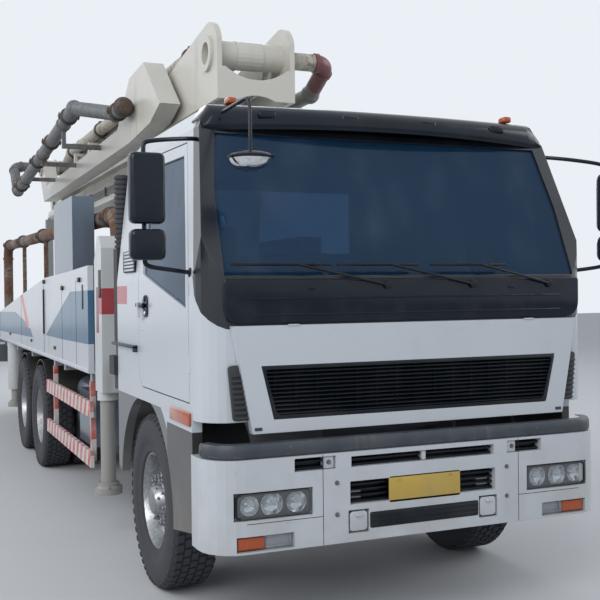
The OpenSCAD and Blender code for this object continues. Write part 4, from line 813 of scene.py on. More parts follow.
class Bench:
    """Modelling steps that the sub-assemblies share, each with Blender's own operators."""

    def clear(self) -> None:
        """Leaves edit mode and deselects everything."""
        if bpy.context.object is not None and bpy.context.object.mode == "EDIT":
            bpy.ops.object.mode_set(mode="OBJECT")
        bpy.ops.object.select_all(action="DESELECT")

    def only(self, piece: Piece) -> None:
        """Makes one piece the selected and active one."""
        self.clear()
        piece.select_set(True)
        bpy.context.view_layer.objects.active = piece

    def settle(self, name: str) -> Piece:
        """Ends the work on the active object.

        Args:
            name: the piece's name.

        Returns:
            The piece, its place applied to its mesh.
        """
        piece = bpy.context.object
        if piece.mode == "EDIT":
            bpy.ops.object.mode_set(mode="OBJECT")
        bpy.ops.object.transform_apply(location=True, rotation=True, scale=True)
        piece.name = name
        piece.data.name = name
        return piece

    def edit(self) -> bmesh.types.BMesh:
        """Enters edit mode with all selected and returns the mesh."""
        bpy.ops.object.mode_set(mode="EDIT")
        bpy.ops.mesh.select_all(action="SELECT")
        return bmesh.from_edit_mesh(bpy.context.object.data)

    def pick(self, test: Callable[[bmesh.types.BMFace], bool]) -> None:
        """Selects just the faces that pass a test, in edit mode.

        Args:
            test: tells whether a face is wanted.
        """
        bpy.ops.mesh.select_mode(type="FACE")
        bpy.ops.mesh.select_all(action="DESELECT")
        mesh = bmesh.from_edit_mesh(bpy.context.object.data)
        for face in mesh.faces:
            face.select_set(bool(test(face)))
        bmesh.update_edit_mesh(bpy.context.object.data)

    def round_edges(self, width: float, segments: int = 2, sharp: float = 35.0) -> None:
        """Bevels the sharp edges of the active object, in edit mode.

        Args:
            width: the bevel's width.
            segments: its segments.
            sharp: the least angle of an edge that is bevelled, in degrees.
        """
        bpy.ops.mesh.select_mode(type="EDGE")
        bpy.ops.mesh.select_all(action="DESELECT")
        bpy.ops.mesh.edges_select_sharp(sharpness=math.radians(sharp))
        bpy.ops.mesh.bevel(offset=width, segments=segments, affect="EDGES")
        bpy.ops.mesh.select_mode(type="FACE")

    def box(self, name: str, one: Point, other: Point, edge: float = 0.0, segments: int = 2) -> Piece:
        """A block with rounded edges.

        Args:
            name: the piece's name.
            one: a corner, as x, y behind the bumper and z.
            other: the opposite corner.
            edge: the radius of its edges.
            segments: the segments of an edge.

        Returns:
            The piece.
        """
        low, high = spot(*map(min, one, other)), spot(*map(max, one, other))
        self.clear()
        bpy.ops.mesh.primitive_cube_add(size=1.0, location=(low + high) / 2, scale=high - low)
        bpy.ops.object.transform_apply(location=True, rotation=True, scale=True)
        self.edit()
        if edge:
            self.round_edges(edge, segments)
        return self.settle(name)

    def rod(
        self, name: str, start: Vector, end: Vector, width: float, sides: int = 24, edge: float = 0.0
    ) -> Piece:
        """A round or many-sided bar.

        Args:
            name: the piece's name.
            start: the middle of its first end.
            end: the middle of its other end.
            width: its diameter.
            sides: the number of its sides.
            edge: the width of its ends' chamfer.

        Returns:
            The piece.
        """
        self.clear()
        run = end - start
        bpy.ops.mesh.primitive_cylinder_add(
            vertices=sides,
            radius=width / 2,
            depth=run.length,
            location=(start + end) / 2,
            rotation=run.to_track_quat("Z", "Y").to_euler(),
        )
        bpy.ops.object.transform_apply(location=True, rotation=True, scale=True)
        self.edit()
        if edge:
            self.pick(lambda face: len(face.verts) > 4 or sides <= 4)
            bpy.ops.mesh.inset(thickness=edge, depth=0.0)
            self.round_edges(edge, 1, 50.0)
        return self.settle(name)

    def ring_of(self, outline: Sequence[Vector], filled: bool) -> None:
        """Starts a circle whose points are the outline's, and stays in edit mode.

        Args:
            outline: the points in order.
            filled: whether a face closes it.
        """
        self.clear()
        kind = "NGON" if filled else "NOTHING"
        bpy.ops.mesh.primitive_circle_add(vertices=len(outline), radius=1.0, fill_type=kind)
        mesh = self.edit()
        mesh.verts.ensure_lookup_table()
        for vertex, place in zip(mesh.verts, outline):
            vertex.co = place
        bmesh.update_edit_mesh(bpy.context.object.data)

    def lathe(
        self, name: str, outline: Sequence[Span], centre: Vector, axis: Vector, steps: int = 48
    ) -> Piece:
        """A turned piece.

        Args:
            name: the piece's name.
            outline: its closed outline, as (place along the axis, radius).
            centre: the axis's zero point.
            axis: the axis's direction.
            steps: the steps of the turn.

        Returns:
            The piece.
        """
        side = axis.orthogonal().normalized()
        self.ring_of([centre + axis * a + side * r for a, r in outline], False)
        bpy.ops.mesh.spin(steps=steps, angle=math.tau, center=centre, axis=axis)
        bpy.ops.mesh.select_all(action="SELECT")
        bpy.ops.mesh.remove_doubles(threshold=0.0001)
        bpy.ops.mesh.normals_make_consistent(inside=False)
        return self.settle(name)

    def plate(
        self, name: str, outline: Sequence[Vector], thick: Vector, edge: float = 0.0, segments: int = 2
    ) -> Piece:
        """A plate of any outline.

        Args:
            name: the piece's name.
            outline: the corners of one face, in order.
            thick: the way to its other face.
            edge: the radius of its edges.
            segments: the segments of an edge.

        Returns:
            The piece.
        """
        self.ring_of(outline, True)
        bpy.ops.mesh.extrude_region_move(TRANSFORM_OT_translate={"value": thick})
        bpy.ops.mesh.select_all(action="SELECT")
        bpy.ops.mesh.normals_make_consistent(inside=False)
        if edge:
            self.round_edges(edge, segments, 25.0)
        return self.settle(name)

    def tube(self, name: str, route: Sequence[Vector], width: float, sides: int = 3) -> Piece:
        """A hose or bent bar along a smooth route.

        Args:
            name: the piece's name.
            route: the control points of its route.
            width: its diameter.
            sides: how round it is; the section has 4 sides more than twice this.

        Returns:
            The piece.
        """
        self.clear()
        line = bpy.data.curves.new(name, "CURVE")
        line.dimensions = "3D"
        line.bevel_depth = width / 2
        line.bevel_resolution = sides
        line.use_fill_caps = True
        line.resolution_u = 8
        run = line.splines.new("NURBS")
        run.points.add(len(route) - 1)
        for point, place in zip(run.points, route):
            point.co = (*place, 1.0)
        run.order_u = min(4, len(route))
        run.use_endpoint_u = True
        piece = bpy.data.objects.new(name, line)
        bpy.context.collection.objects.link(piece)
        self.only(piece)
        bpy.ops.object.convert(target="MESH")
        return self.settle(name)

    def skin(self, name: str, rows: Sequence[Sequence[Vector]], thick: float) -> Piece:
        """A curved sheet through rows of points, with a thickness.

        Args:
            name: the piece's name.
            rows: its rows, all with the same number of points.
            thick: its thickness, behind its outer face.

        Returns:
            The piece.
        """
        self.clear()
        bpy.ops.mesh.primitive_grid_add(
            x_subdivisions=len(rows[0]) - 1, y_subdivisions=len(rows) - 1, size=1.0
        )
        mesh = self.edit()
        ordered = sorted(mesh.verts, key=lambda v: (round(v.co.y, 4), round(v.co.x, 4)))
        for vertex, place in zip(ordered, [point for row in rows for point in row]):
            vertex.co = place
        bmesh.update_edit_mesh(bpy.context.object.data)
        bpy.ops.mesh.normals_make_consistent(inside=False)
        bpy.ops.object.mode_set(mode="OBJECT")
        wall = bpy.context.object.modifiers.new("wall", "SOLIDIFY")
        wall.thickness = thick
        wall.offset = 0.0
        bpy.ops.object.modifier_apply(modifier=wall.name)
        return self.settle(name)

    def copies(self, piece: Piece, places: Iterable[Matrix], name: str) -> Piece:
        """Copies of a piece, each with its own mesh, joined into one.

        Args:
            piece: the model, used up.
            places: where each copy goes.
            name: the joined piece's name.

        Returns:
            The joined piece.
        """
        made = []
        for place in places:
            copy = piece.copy()
            copy.data = piece.data.copy()
            copy.data.transform(place)
            bpy.context.collection.objects.link(copy)
            made.append(copy)
        bpy.data.objects.remove(piece)
        return self.join(made, name)

    def join(self, pieces: Sequence[Piece], name: str) -> Piece:
        """Joins pieces into one called name and returns it."""
        self.only(pieces[0])
        for piece in pieces:
            piece.select_set(True)
        if len(pieces) > 1:
            bpy.ops.object.join()
        return self.settle(name)

    def cut(self, piece: Piece, tools: Sequence[Piece]) -> Piece:
        """Cuts tools out of a piece with Boolean modifiers.

        Args:
            piece: the piece.
            tools: the cutting solids, used up.

        Returns:
            The piece.
        """
        self.only(piece)
        for tool in tools:
            step = piece.modifiers.new("cut", "BOOLEAN")
            step.operation = "DIFFERENCE"
            step.object = tool
            step.solver = "EXACT"
            bpy.ops.object.modifier_apply(modifier=step.name)
            bpy.data.objects.remove(tool)
        return piece

    def dress(
        self,
        piece: Piece,
        finish: Finish,
        body: str,
        slot: str,
        smooth: float = 32.0,
        replaces: Sequence[str] = (),
    ) -> None:
        """Gives a piece its finish and its body.

        Args:
            piece: the piece.
            finish: its finish.
            body: the body that it rides on.
            slot: the record's material slot; not used.
            smooth: the angle under which edges look smooth, in degrees.
            replaces: the CAD nodes that it stands for.
        """
        self.only(piece)
        bpy.ops.object.shade_smooth_by_angle(angle=math.radians(smooth))
        piece.data.materials.clear()
        piece.data.materials.append(finish.material())
        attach(piece, body)
        if replaces:
            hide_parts(*replaces)
        LOG.info("%s on %s: %d faces", piece.name, body, len(piece.data.polygons))

    def show(self, parts: Sequence[Piece], name: str, *looks: Any, **more: Any) -> None:
        """Joins parts under a name and dresses the whole with what dress takes after the piece."""
        self.dress(self.join(parts, name), *looks, **more)


BENCH = Bench()


def bolt(width: float, height: float) -> Piece:
    """A hexagon bolt's head on its washer, standing on the xy plane.

    Args:
        width: the head's width.
        height: the head's height.

    Returns:
        The piece, at the origin.
    """
    washer = BENCH.rod("washer", ORIGIN, UP * height * 0.25, width * 1.35, 12)
    head = BENCH.rod("head", UP * height * 0.25, UP * height, width, 6)
    return BENCH.join([washer, head], "bolt")


def turned(place: Vector, axis: Vector, spin: float = 0.0) -> Matrix:
    """The matrix that stands a piece made on the xy plane at a place.

    Args:
        place: where its origin goes.
        axis: where its z axis points.
        spin: a turn about that axis first.

    Returns:
        The matrix.
    """
    stand = axis.to_track_quat("Z", "Y").to_matrix().to_4x4()
    return Matrix.Translation(place) @ stand @ Matrix.Rotation(spin, 4, "Z")


def circle_places(
    centre: Vector, axis: Vector, radius: float, count: int, start: float = 0.0
) -> list[Matrix]:
    """Places round a circle.

    Args:
        centre: the circle's middle.
        axis: its axis, along which the pieces stand.
        radius: its radius.
        count: the number of places.
        start: the first place's angle.

    Returns:
        The matrices.
    """
    u = axis.orthogonal().normalized()
    v = axis.cross(u)
    made = []
    for i in range(count):
        angle = start + math.tau * i / count
        made.append(turned(centre + (u * math.cos(angle) + v * math.sin(angle)) * radius, axis, angle))
    return made


def rounded(corners: Sequence[tuple[float, float, float]], steps: int = 5) -> list[Span]:
    """An outline whose corners are rounded.

    Args:
        corners: each corner and its radius.
        steps: the points of one rounded corner, less one.

    Returns:
        The outline's points.
    """
    made: list[Span] = []
    count = len(corners)
    for i, (a, b, radius) in enumerate(corners):
        here = Vector((a, b))
        if radius <= 0.0:
            made.append((a, b))
            continue
        ways = []
        for other in (corners[i - 1], corners[(i + 1) % count]):
            way = Vector(other[:2]) - here
            ways.append(way.normalized() * min(radius, way.length * 0.49))
        for k in range(steps + 1):
            t = k / steps
            point = here + ways[0] * (1.0 - t) ** 2 + ways[1] * t**2
            made.append((point.x, point.y))
    return made


def rounded_box(a: Span, b: Span, radius: float, steps: int = 5) -> list[Span]:
    """The outline of a rounded rectangle.

    Args:
        a: its lowest and highest first coordinate.
        b: its lowest and highest second coordinate.
        radius: its corners' radius.
        steps: the points of one corner, less one.

    Returns:
        The outline's points.
    """
    (a0, a1), (b0, b1) = a, b
    return rounded([(a0, b0, radius), (a1, b0, radius), (a1, b1, radius), (a0, b1, radius)], steps)


def facing(outline: Iterable[Span], y: float) -> list[Vector]:
    """An outline of (x, z) points stood up at y behind the bumper."""
    return [spot(a, y, b) for a, b in outline]


def beside(outline: Iterable[Span], x: float) -> list[Vector]:
    """An outline of (y behind the bumper, z) points stood up at x."""
    return [spot(x, a, b) for a, b in outline]


# ---------------------------------------------------------------- sub-assemblies


@dataclass
class Studio:
    """Floor, lights, sky and the camera at the photograph's place."""

    camera_place: Point = (-2.6305, -10.3152, 1.8125)
    yaw: float = -23.098
    pitch: float = -0.526
    roll: float = 0.663
    lens: float = 57.567
    floor_size: float = 90.0
    sky: Colour = (0.80, 0.86, 0.93)
    shown_sky: Colour = (0.83, 0.87, 0.92)
    sky_strength: float = 0.52
    lights: tuple[tuple[str, Point, float, float], ...] = (
        ("key_lamp", (-9.0, -13.0, 9.0), 9.0, 900.0),
        ("side_lamp", (-13.0, 2.0, 8.0), 9.0, 620.0),
        ("fill_lamp", (11.0, -6.0, 7.0), 8.0, 420.0),
        ("rear_lamp", (4.0, 13.0, 9.0), 8.0, 420.0),
    )

    def build(self) -> None:
        """Builds the whole studio."""
        self.floor()
        self.world()
        self.lamps()
        self.camera()

    def floor(self) -> None:
        """Lays the floor."""
        BENCH.clear()
        bpy.ops.mesh.primitive_grid_add(x_subdivisions=24, y_subdivisions=24, size=self.floor_size)
        sheet = BENCH.settle("studio_floor")
        sheet.data.materials.append(Finishes.floor.material())

    def world(self) -> None:
        """Lights the scene with a soft sky, and shows a plain pale one to the camera, metal and glass."""
        world = bpy.data.worlds.new("studio_sky")
        bpy.context.scene.world = world
        world.use_nodes = True
        tree = world.node_tree
        tree.nodes.clear()
        path = tree.nodes.new("ShaderNodeLightPath")
        seen = path.outputs["Is Camera Ray"]
        for name in ("Is Glossy Ray", "Is Transmission Ray"):
            either = tree.nodes.new("ShaderNodeMath")
            either.operation = "MAXIMUM"
            tree.links.new(seen, either.inputs[0])
            tree.links.new(path.outputs[name], either.inputs[1])
            seen = either.outputs[0]
        lit = tree.nodes.new("ShaderNodeBackground")
        lit.inputs["Color"].default_value = (*self.sky, 1.0)
        lit.inputs["Strength"].default_value = self.sky_strength
        shown = tree.nodes.new("ShaderNodeBackground")
        shown.inputs["Color"].default_value = (*self.shown_sky, 1.0)
        shown.inputs["Strength"].default_value = 1.0
        mixed = tree.nodes.new("ShaderNodeMixShader")
        out = tree.nodes.new("ShaderNodeOutputWorld")
        tree.links.new(seen, mixed.inputs[0])
        tree.links.new(lit.outputs[0], mixed.inputs[1])
        tree.links.new(shown.outputs[0], mixed.inputs[2])
        tree.links.new(mixed.outputs[0], out.inputs["Surface"])

    def lamps(self) -> None:
        """Hangs four large soft lamps round the truck."""
        for name, place, size, power in self.lights:
            lamp = bpy.data.lights.new(name, "AREA")
            lamp.size = size
            lamp.energy = power
            holder = bpy.data.objects.new(name, lamp)
            holder.location = place
            aim = Vector((0.0, 0.0, 1.5)) - holder.location
            holder.rotation_euler = aim.to_track_quat("-Z", "Y").to_euler()
            bpy.context.collection.objects.link(holder)

    def camera(self) -> None:
        """Puts the camera where the photograph was taken from."""
        yaw, pitch, roll = (math.radians(a) for a in (self.yaw, self.pitch, self.roll))
        turn = Matrix.Rotation(yaw, 3, "Z") @ Matrix.Rotation(pitch, 3, "X") @ Matrix.Rotation(roll, 3, "Y")
        right, forward, up = turn.col[0], turn.col[1], turn.col[2]
        frame = Matrix((right, up, -forward)).transposed().to_4x4()
        eye = bpy.data.cameras.new("photo_camera")
        eye.sensor_width = 36.0
        eye.lens = self.lens
        eye.clip_end = 300.0
        holder = bpy.data.objects.new("photo_camera", eye)
        holder.matrix_world = Matrix.Translation(self.camera_place) @ frame
        bpy.context.collection.objects.link(holder)
        bpy.context.scene.camera = holder
        bpy.context.scene.view_settings.view_transform = "Standard"


@dataclass
class NodeFinishes:
    """The finish of each CAD node that stays on show."""

    nodes: dict[str, Piece]
    table: tuple[tuple[Finish, str], ...] = (
        (Finishes.chassis, "frame axles powertrain knuckle_left knuckle_right hopper_grate"),
        (Finishes.cab_body, "cab_shell"),
        (Finishes.cab_white, "front_lid bumper door_left door_right"),
        (Finishes.arch, "fenders"),
        (Finishes.glass, "cab_glass door_glass_left door_glass_right"),
        (Finishes.plastic, "grille black_trim air_intake"),
        (Finishes.mirror_case, "mirrors"),
        (Finishes.dash, "cab_interior"),
        (Finishes.cloth, "seats"),
        (Finishes.lamp_body, "lamps"),
        (Finishes.grey_paint, "deck pump_unit"),
        (Finishes.panel, "side_panels"),
        (Finishes.guard, "side_guards"),
        (Finishes.tank, "tanks"),
        (Finishes.cream, "pedestal turret arm_1 arm_2 arm_3 arm_4 lift_barrel"),
        (Finishes.pipe_rust, "delivery_line delivery_bends"),
        (Finishes.pipe_grey, "pipe_1 pipe_4"),
        (Finishes.pipe_red_end, "pipe_2"),
        (Finishes.pipe_cream, "pipe_3"),
        (Finishes.hopper, "hopper"),
        (Finishes.steel, "agitator"),
        (Finishes.chrome, "lift_rod fold_rod_2 fold_rod_3 fold_rod_4"),
        (Finishes.beam, "front_beam_left front_beam_right rear_arm_left rear_arm_right"),
        (Finishes.leg, "front_leg_left front_leg_right rear_leg_left rear_leg_right"),
    )

    def build(self) -> None:
        """Dresses every node of the table, and any other, such as a wheel, in rubber."""
        left = set(self.nodes)
        for finish, names in self.table:
            for name in names.split():
                self.dress(name, finish)
                left.discard(name)
        for name in left:
            self.dress(name, Finishes.rubber)

    def dress(self, name: str, finish: Finish) -> None:
        """Puts one finish on one node.

        Args:
            name: the node's name.
            finish: its finish.
        """
        node = self.nodes[name]
        node.data.materials.clear()
        node.data.materials.append(finish.material())
        LOG.info("node %s: %s", name, finish.name)


@dataclass
class Wheels:
    """Road wheels with treaded tyres, dished rims, hubs and nuts."""

    axle_z: float = 0.531
    tyre_r: float = 0.531
    tyre_half: float = 0.146
    bead_r: float = 0.29
    tread_rows: int = 5
    tread_count: int = 52
    groove: float = 0.011
    front_track: float = 1.030
    front_y: float = 1.330
    twin_track: float = 0.910
    twin_shift: float = 0.164
    twin_disc: float = 0.105
    driven_y: dict[str, float] = field(default_factory=lambda: {"mid": 5.925, "rear": 7.235})
    hand_holes: int = 8
    hole_ring: float = 0.222
    hole_d: float = 0.058
    nut_ring: float = 0.1425
    nut_count: int = 10
    cap_ring: float = 0.094
    cap_bolts: int = 8

    def tyre(self) -> Piece:
        """One tyre with its tread, about the x axis at the origin."""
        w, r, g = self.tyre_half, self.tyre_r, self.groove
        half = [
            (w - 0.032, self.bead_r + 0.001),
            (w - 0.018, self.bead_r + 0.012),
            (w - 0.015, self.bead_r + 0.040),
            (w - 0.006, self.bead_r + 0.075),
            (w - 0.004, self.bead_r + 0.078),
            (w - 0.0005, r - 0.115),
            (w - 0.001, r - 0.078),
            (w - 0.007, r - 0.046),
            (w - 0.016, r - 0.020),
            (w - 0.030, r - g),
        ]
        outline = half + [(-a, b) for a, b in reversed(half)]
        body = BENCH.lathe("tyre_body", outline, ORIGIN, Vector((1, 0, 0)), 72)
        block = BENCH.plate(
            "tread_block",
            [
                Vector(p)
                for p in ((-0.019, -0.026, 0), (0.019, -0.020, 0), (0.019, 0.026, 0), (-0.019, 0.020, 0))
            ],
            Vector((0, 0, g + 0.004)),
        )
        places = []
        for row in range(self.tread_rows):
            x = (row - (self.tread_rows - 1) / 2) * 0.048
            for i in range(self.tread_count):
                angle = math.tau * (i + 0.5 * (row % 2)) / self.tread_count
                lift = Matrix.Translation((x, 0, r - g - 0.004))
                places.append(Matrix.Rotation(angle, 4, "X") @ lift)
        tread = BENCH.copies(block, places, "tread")
        shoulder = BENCH.plate(
            "shoulder_lug",
            [
                Vector(p)
                for p in (
                    (0.112, -0.020, 0), (0.1395, -0.016, -0.020), (0.1395, 0.016, -0.020), (0.112, 0.020, 0)
                )
            ],
            Vector((0, 0, g)),
        )
        lugs = []
        for flip in (0.0, math.pi):
            for i in range(self.tread_count):
                lift = Matrix.Translation((0, 0, r - g - 0.0005))
                turn = Matrix.Rotation(math.tau * (i + 0.25) / self.tread_count, 4, "X")
                lugs.append(turn @ lift @ Matrix.Rotation(flip, 4, "Z"))
        shoulders = BENCH.copies(shoulder, lugs, "shoulders")
        return BENCH.join([body, tread, shoulders], "tyre")

    def rim(self, disc: float, side: int, dish: float) -> Piece:
        """One rim about the x axis at the origin.

        Args:
            disc: the disc's place across the wheel.
            side: the sign of the side that looks outwards.
            dish: how far the disc's middle lies outwards of its edge.

        Returns:
            The rim with its disc and hand holes.
        """
        w, b = self.tyre_half - 0.030, self.bead_r
        outline = [
            (-w, b + 0.012), (-w + 0.010, b + 0.012), (-w + 0.014, b), (-0.03, b - 0.012), (0.03, b - 0.012),
            (w - 0.014, b), (w - 0.010, b + 0.012), (w, b + 0.012), (w, b - 0.006), (w - 0.03, b - 0.020),
            (disc + 0.020, b - 0.030), (disc + 0.012, b - 0.075), (disc + dish, 0.165), (disc + dish, 0.085),
            (disc + dish - 0.012, 0.085), (disc + dish - 0.012, 0.160), (disc, b - 0.080), (
                disc - 0.004, b - 0.030
            ),
            (-w + 0.03, b - 0.022), (-w, b - 0.008),
        ]
        body = BENCH.lathe("rim_body", [(side * a, c) for a, c in outline], ORIGIN, Vector((1, 0, 0)), 64)
        holes = []
        for i in range(self.hand_holes):
            angle = math.tau * (i + 0.5) / self.hand_holes
            at = Vector((0, math.cos(angle), math.sin(angle))) * self.hole_ring
            reach = Vector((0.2, 0, 0))
            holes.append(BENCH.rod("hole", at - reach, at + reach, self.hole_d, 20))
        BENCH.cut(body, [BENCH.join(holes, "holes")])
        return body

    def hub(self, face: float, side: int, reach: float) -> Piece:
        """A hub with its nuts.

        Args:
            face: the place of the disc's outer face.
            side: the sign of the side that looks outwards.
            reach: how far the hub's cap stands out of the face.

        Returns:
            The hub.
        """
        outline = [
            (face - 0.03, 0.001), (face - 0.03, 0.112), (face + 0.010, 0.112), (face + 0.012, 0.100),
            (
                face + reach * 0.7, 0.088
            ), (face + reach * 0.9, 0.078), (face + reach, 0.055), (face + reach, 0.001),
        ]
        axis = Vector((side, 0, 0))
        cap = BENCH.lathe("hub_cap", outline, ORIGIN, axis, 40)
        nut = BENCH.join(
            [
                BENCH.rod("nut", ORIGIN, UP * 0.024, 0.036, 6),
                BENCH.rod("stud", Vector((0, 0, 0.02)), Vector((0, 0, 0.042)), 0.020, 12, 0.002),
                BENCH.rod("seat_ring", Vector((0, 0, -0.001)), Vector((0, 0, 0.005)), 0.046, 16),
            ],
            "wheel_nut",
        )
        nuts = BENCH.copies(nut, circle_places(axis * face, axis, self.nut_ring, self.nut_count), "nuts")
        places = circle_places(axis * (face + reach * 0.62), axis, self.cap_ring, self.cap_bolts, 0.3)
        ring = BENCH.copies(bolt(0.018, 0.010), places, "cap_bolts")
        return BENCH.join([cap, nuts, ring], "hub")

    def place(self, pieces: Sequence[Piece], at: Vector) -> None:
        """Moves pieces made at the origin to a wheel's place."""
        for piece in pieces:
            piece.data.transform(Matrix.Translation(at))

    def front(self, side: Side) -> None:
        """Builds one front wheel.

        Args:
            side: its side.
        """
        s, body = side.value, f"front_wheel_{side.word}"
        tyre, rim, hub = self.tyre(), self.rim(0.010, s, 0.055), self.hub(0.065, s, 0.075)
        self.place((tyre, rim, hub), spot(s * self.front_track, self.front_y, self.axle_z))
        BENCH.show([tyre], f"tyre_{body}", Finishes.rubber, body, "tyre_rubber", replaces=[body])
        BENCH.show([rim], f"rim_{body}", Finishes.rim, body, "steel")
        BENCH.show([hub], f"hub_{body}", Finishes.rim, body, "steel")

    def twin(self, name: str, side: Side) -> None:
        """Builds one twin wheel.

        Args:
            name: mid or rear.
            side: its side.
        """
        s, body = side.value, f"{name}_wheels_{side.word}"
        centre = spot(s * self.twin_track, self.driven_y[name], self.axle_z)
        tyres, rims = [], []
        for way in (s, -s):
            tyre, rim = self.tyre(), self.rim(-self.twin_disc, way, 0.0)
            self.place((tyre, rim), Vector((way * self.twin_shift, 0, 0)))
            tyres.append(tyre)
            rims.append(rim)
        hub = self.hub(self.twin_shift - self.twin_disc, s, 0.13)
        self.place((*tyres, *rims, hub), centre)
        BENCH.show(tyres, f"tyres_{body}", Finishes.rubber, body, "tyre_rubber", replaces=[body])
        BENCH.show(rims, f"rims_{body}", Finishes.rim, body, "steel")
        BENCH.show([hub], f"hub_{body}", Finishes.rim, body, "steel")

    def build(self) -> None:
        """Builds all wheels."""
        for side in Side:
            self.front(side)
            for name in self.driven_y:
                self.twin(name, side)


@dataclass
class FrontTrim:
    """Black cowl, sun visor, corner vents and the worn step strip of the cab's front."""

    cowl_z: Span = (1.645, 1.878)
    cowl_half: float = 1.100
    visor_half: float = 1.09
    visor_columns: int = 44
    strip_z: Span = (0.977, 1.049)
    strip_half: float = 1.205
    strip_r: float = 0.180
    vent_slats: int = 9

    def cowl(self) -> Piece:
        """The panel under the windscreen, with rounded lower corners."""
        h, (low, top) = self.cowl_half, self.cowl_z
        shape = rounded([(-h, top, 0.02), (-h, low, 0.10), (h, low, 0.10), (h, top, 0.02)], 7)
        panel = BENCH.plate("cab_cowl", facing(shape, 0.109), Vector((0, -0.033, 0)), 0.012, 3)
        parts = [panel]
        for x in (-0.62, 0.62):
            one, other = (x - 0.018, 0.068, top - 0.060), (x + 0.018, 0.080, top - 0.040)
            parts.append(BENCH.box("washer_nozzle", one, other, 0.004))
        for z in (top - 0.105, low + 0.045):
            one, other = (-h + 0.14, 0.070, z), (h - 0.14, 0.079, z + 0.007)
            parts.append(BENCH.box("cowl_ridge", one, other, 0.003))
        return BENCH.join(parts, "cab_cowl")

    def roof(self, x: float) -> float:
        """The roof's height over x."""
        across = abs(x)
        if across < 0.96:
            return 2.836
        if across < 1.05:
            return 2.836 - (across - 0.96) / 0.09 * 0.021
        return 2.815 - (across - 1.05) / 0.06 * 0.115

    def visor(self) -> Piece:
        """The curved sun visor over the windscreen."""
        rows: list[list[Vector]] = [[] for _ in range(7)]
        for i in range(self.visor_columns + 1):
            x = (2.0 * i / self.visor_columns - 1.0) * self.visor_half
            out = (abs(x) / self.visor_half) ** 2
            front = 0.335 + 0.085 * out
            low = 2.712 - 0.030 * out
            top = min(2.824, self.roof(x) + 0.008)
            high = max(top - low, 0.03)
            rows[0].append(spot(x, front + 0.090, low + 0.012))
            rows[1].append(spot(x, front + 0.012, low))
            rows[2].append(spot(x, front, low + 0.25 * high))
            rows[3].append(spot(x, front + 0.018, low + 0.62 * high))
            rows[4].append(spot(x, front + 0.048, low + 0.88 * high))
            rows[5].append(spot(x, front + 0.085, low + high))
            rows[6].append(spot(x, 0.62, self.roof(x) + 0.008))
        shell = BENCH.skin("sun_visor", rows, 0.012)
        pads = []
        for x in (-0.74, -0.25, 0.25, 0.74):
            one = (x - 0.05, 0.342 + 0.085 * (x / self.visor_half) ** 2, 2.752)
            pads.append(BENCH.box("visor_pad", one, (x + 0.05, 0.37, 2.790), 0.008))
        return BENCH.join([shell, *pads], "sun_visor")

    def vent(self, side: Side) -> Piece:
        """One louvred vent at the cab's corner.

        Args:
            side: its side.

        Returns:
            The vent.
        """
        s = side.value
        shape = rounded(
            [(0.945, 1.160, 0.012), (1.052, 1.160, 0.012), (1.078, 1.438, 0.02), (1.018, 1.442, 0.012)], 3
        )
        parts = [
            BENCH.plate("vent", facing([(s * a, b) for a, b in shape], 0.111), Vector((0, -0.024, 0)), 0.004)
        ]
        for i in range(self.vent_slats):
            z = 1.180 + i * 0.027
            inner, outer = 0.957 + (z - 1.16) * 0.25, 1.046 + (z - 1.16) * 0.09
            low, high = sorted((s * inner, s * outer))
            section = [(0.088, z), (0.074, z - 0.010), (0.074, z - 0.003), (0.088, z + 0.008)]
            parts.append(BENCH.plate("vent_slat", beside(section, low), Vector((high - low, 0, 0))))
        return BENCH.join(parts, f"corner_vent_{side.word}")

    def strip(self) -> Piece:
        """The step strip over the bumper, round its corners."""
        h, r = self.strip_half, self.strip_r
        path: list[tuple[Vector, Vector]] = [(Vector((h, 0.168)), Vector((-1, 0)))]
        for k in range(11):
            angle = math.radians(9.0 * k)
            out = Vector((math.cos(angle), -math.sin(angle)))
            path.append((Vector((h - r, 0.010 + r)) + out * r, -out))
        path += [(Vector((x, 0.010)), Vector((0, 1))) for x in (0.7, 0.35, 0.0)]
        full = path + [(Vector((-p.x, p.y)), Vector((-n.x, n.y))) for p, n in reversed(path[:-1])]
        low, high = self.strip_z
        rows = []
        for inset, z in (
            (0.010, low), (0.000, low + 0.012), (0.001, high - 0.016), (0.008, high - 0.002), (0.052, high)
        ):
            rows.append([spot(*(p + n * inset), z) for p, n in full])
        return BENCH.skin("step_strip", rows, 0.005)

    def build(self) -> None:
        """Builds the front's black parts in place of their CAD node."""
        BENCH.dress(self.cowl(), Finishes.visor, "truck", "black_plastic", replaces=["black_trim"])
        BENCH.dress(self.visor(), Finishes.visor, "truck", "black_plastic", 50.0)
        for side in Side:
            BENCH.dress(self.vent(side), Finishes.plastic, "truck", "black_plastic")
        BENCH.dress(self.strip(), Finishes.strip, "truck", "black_plastic", 50.0)


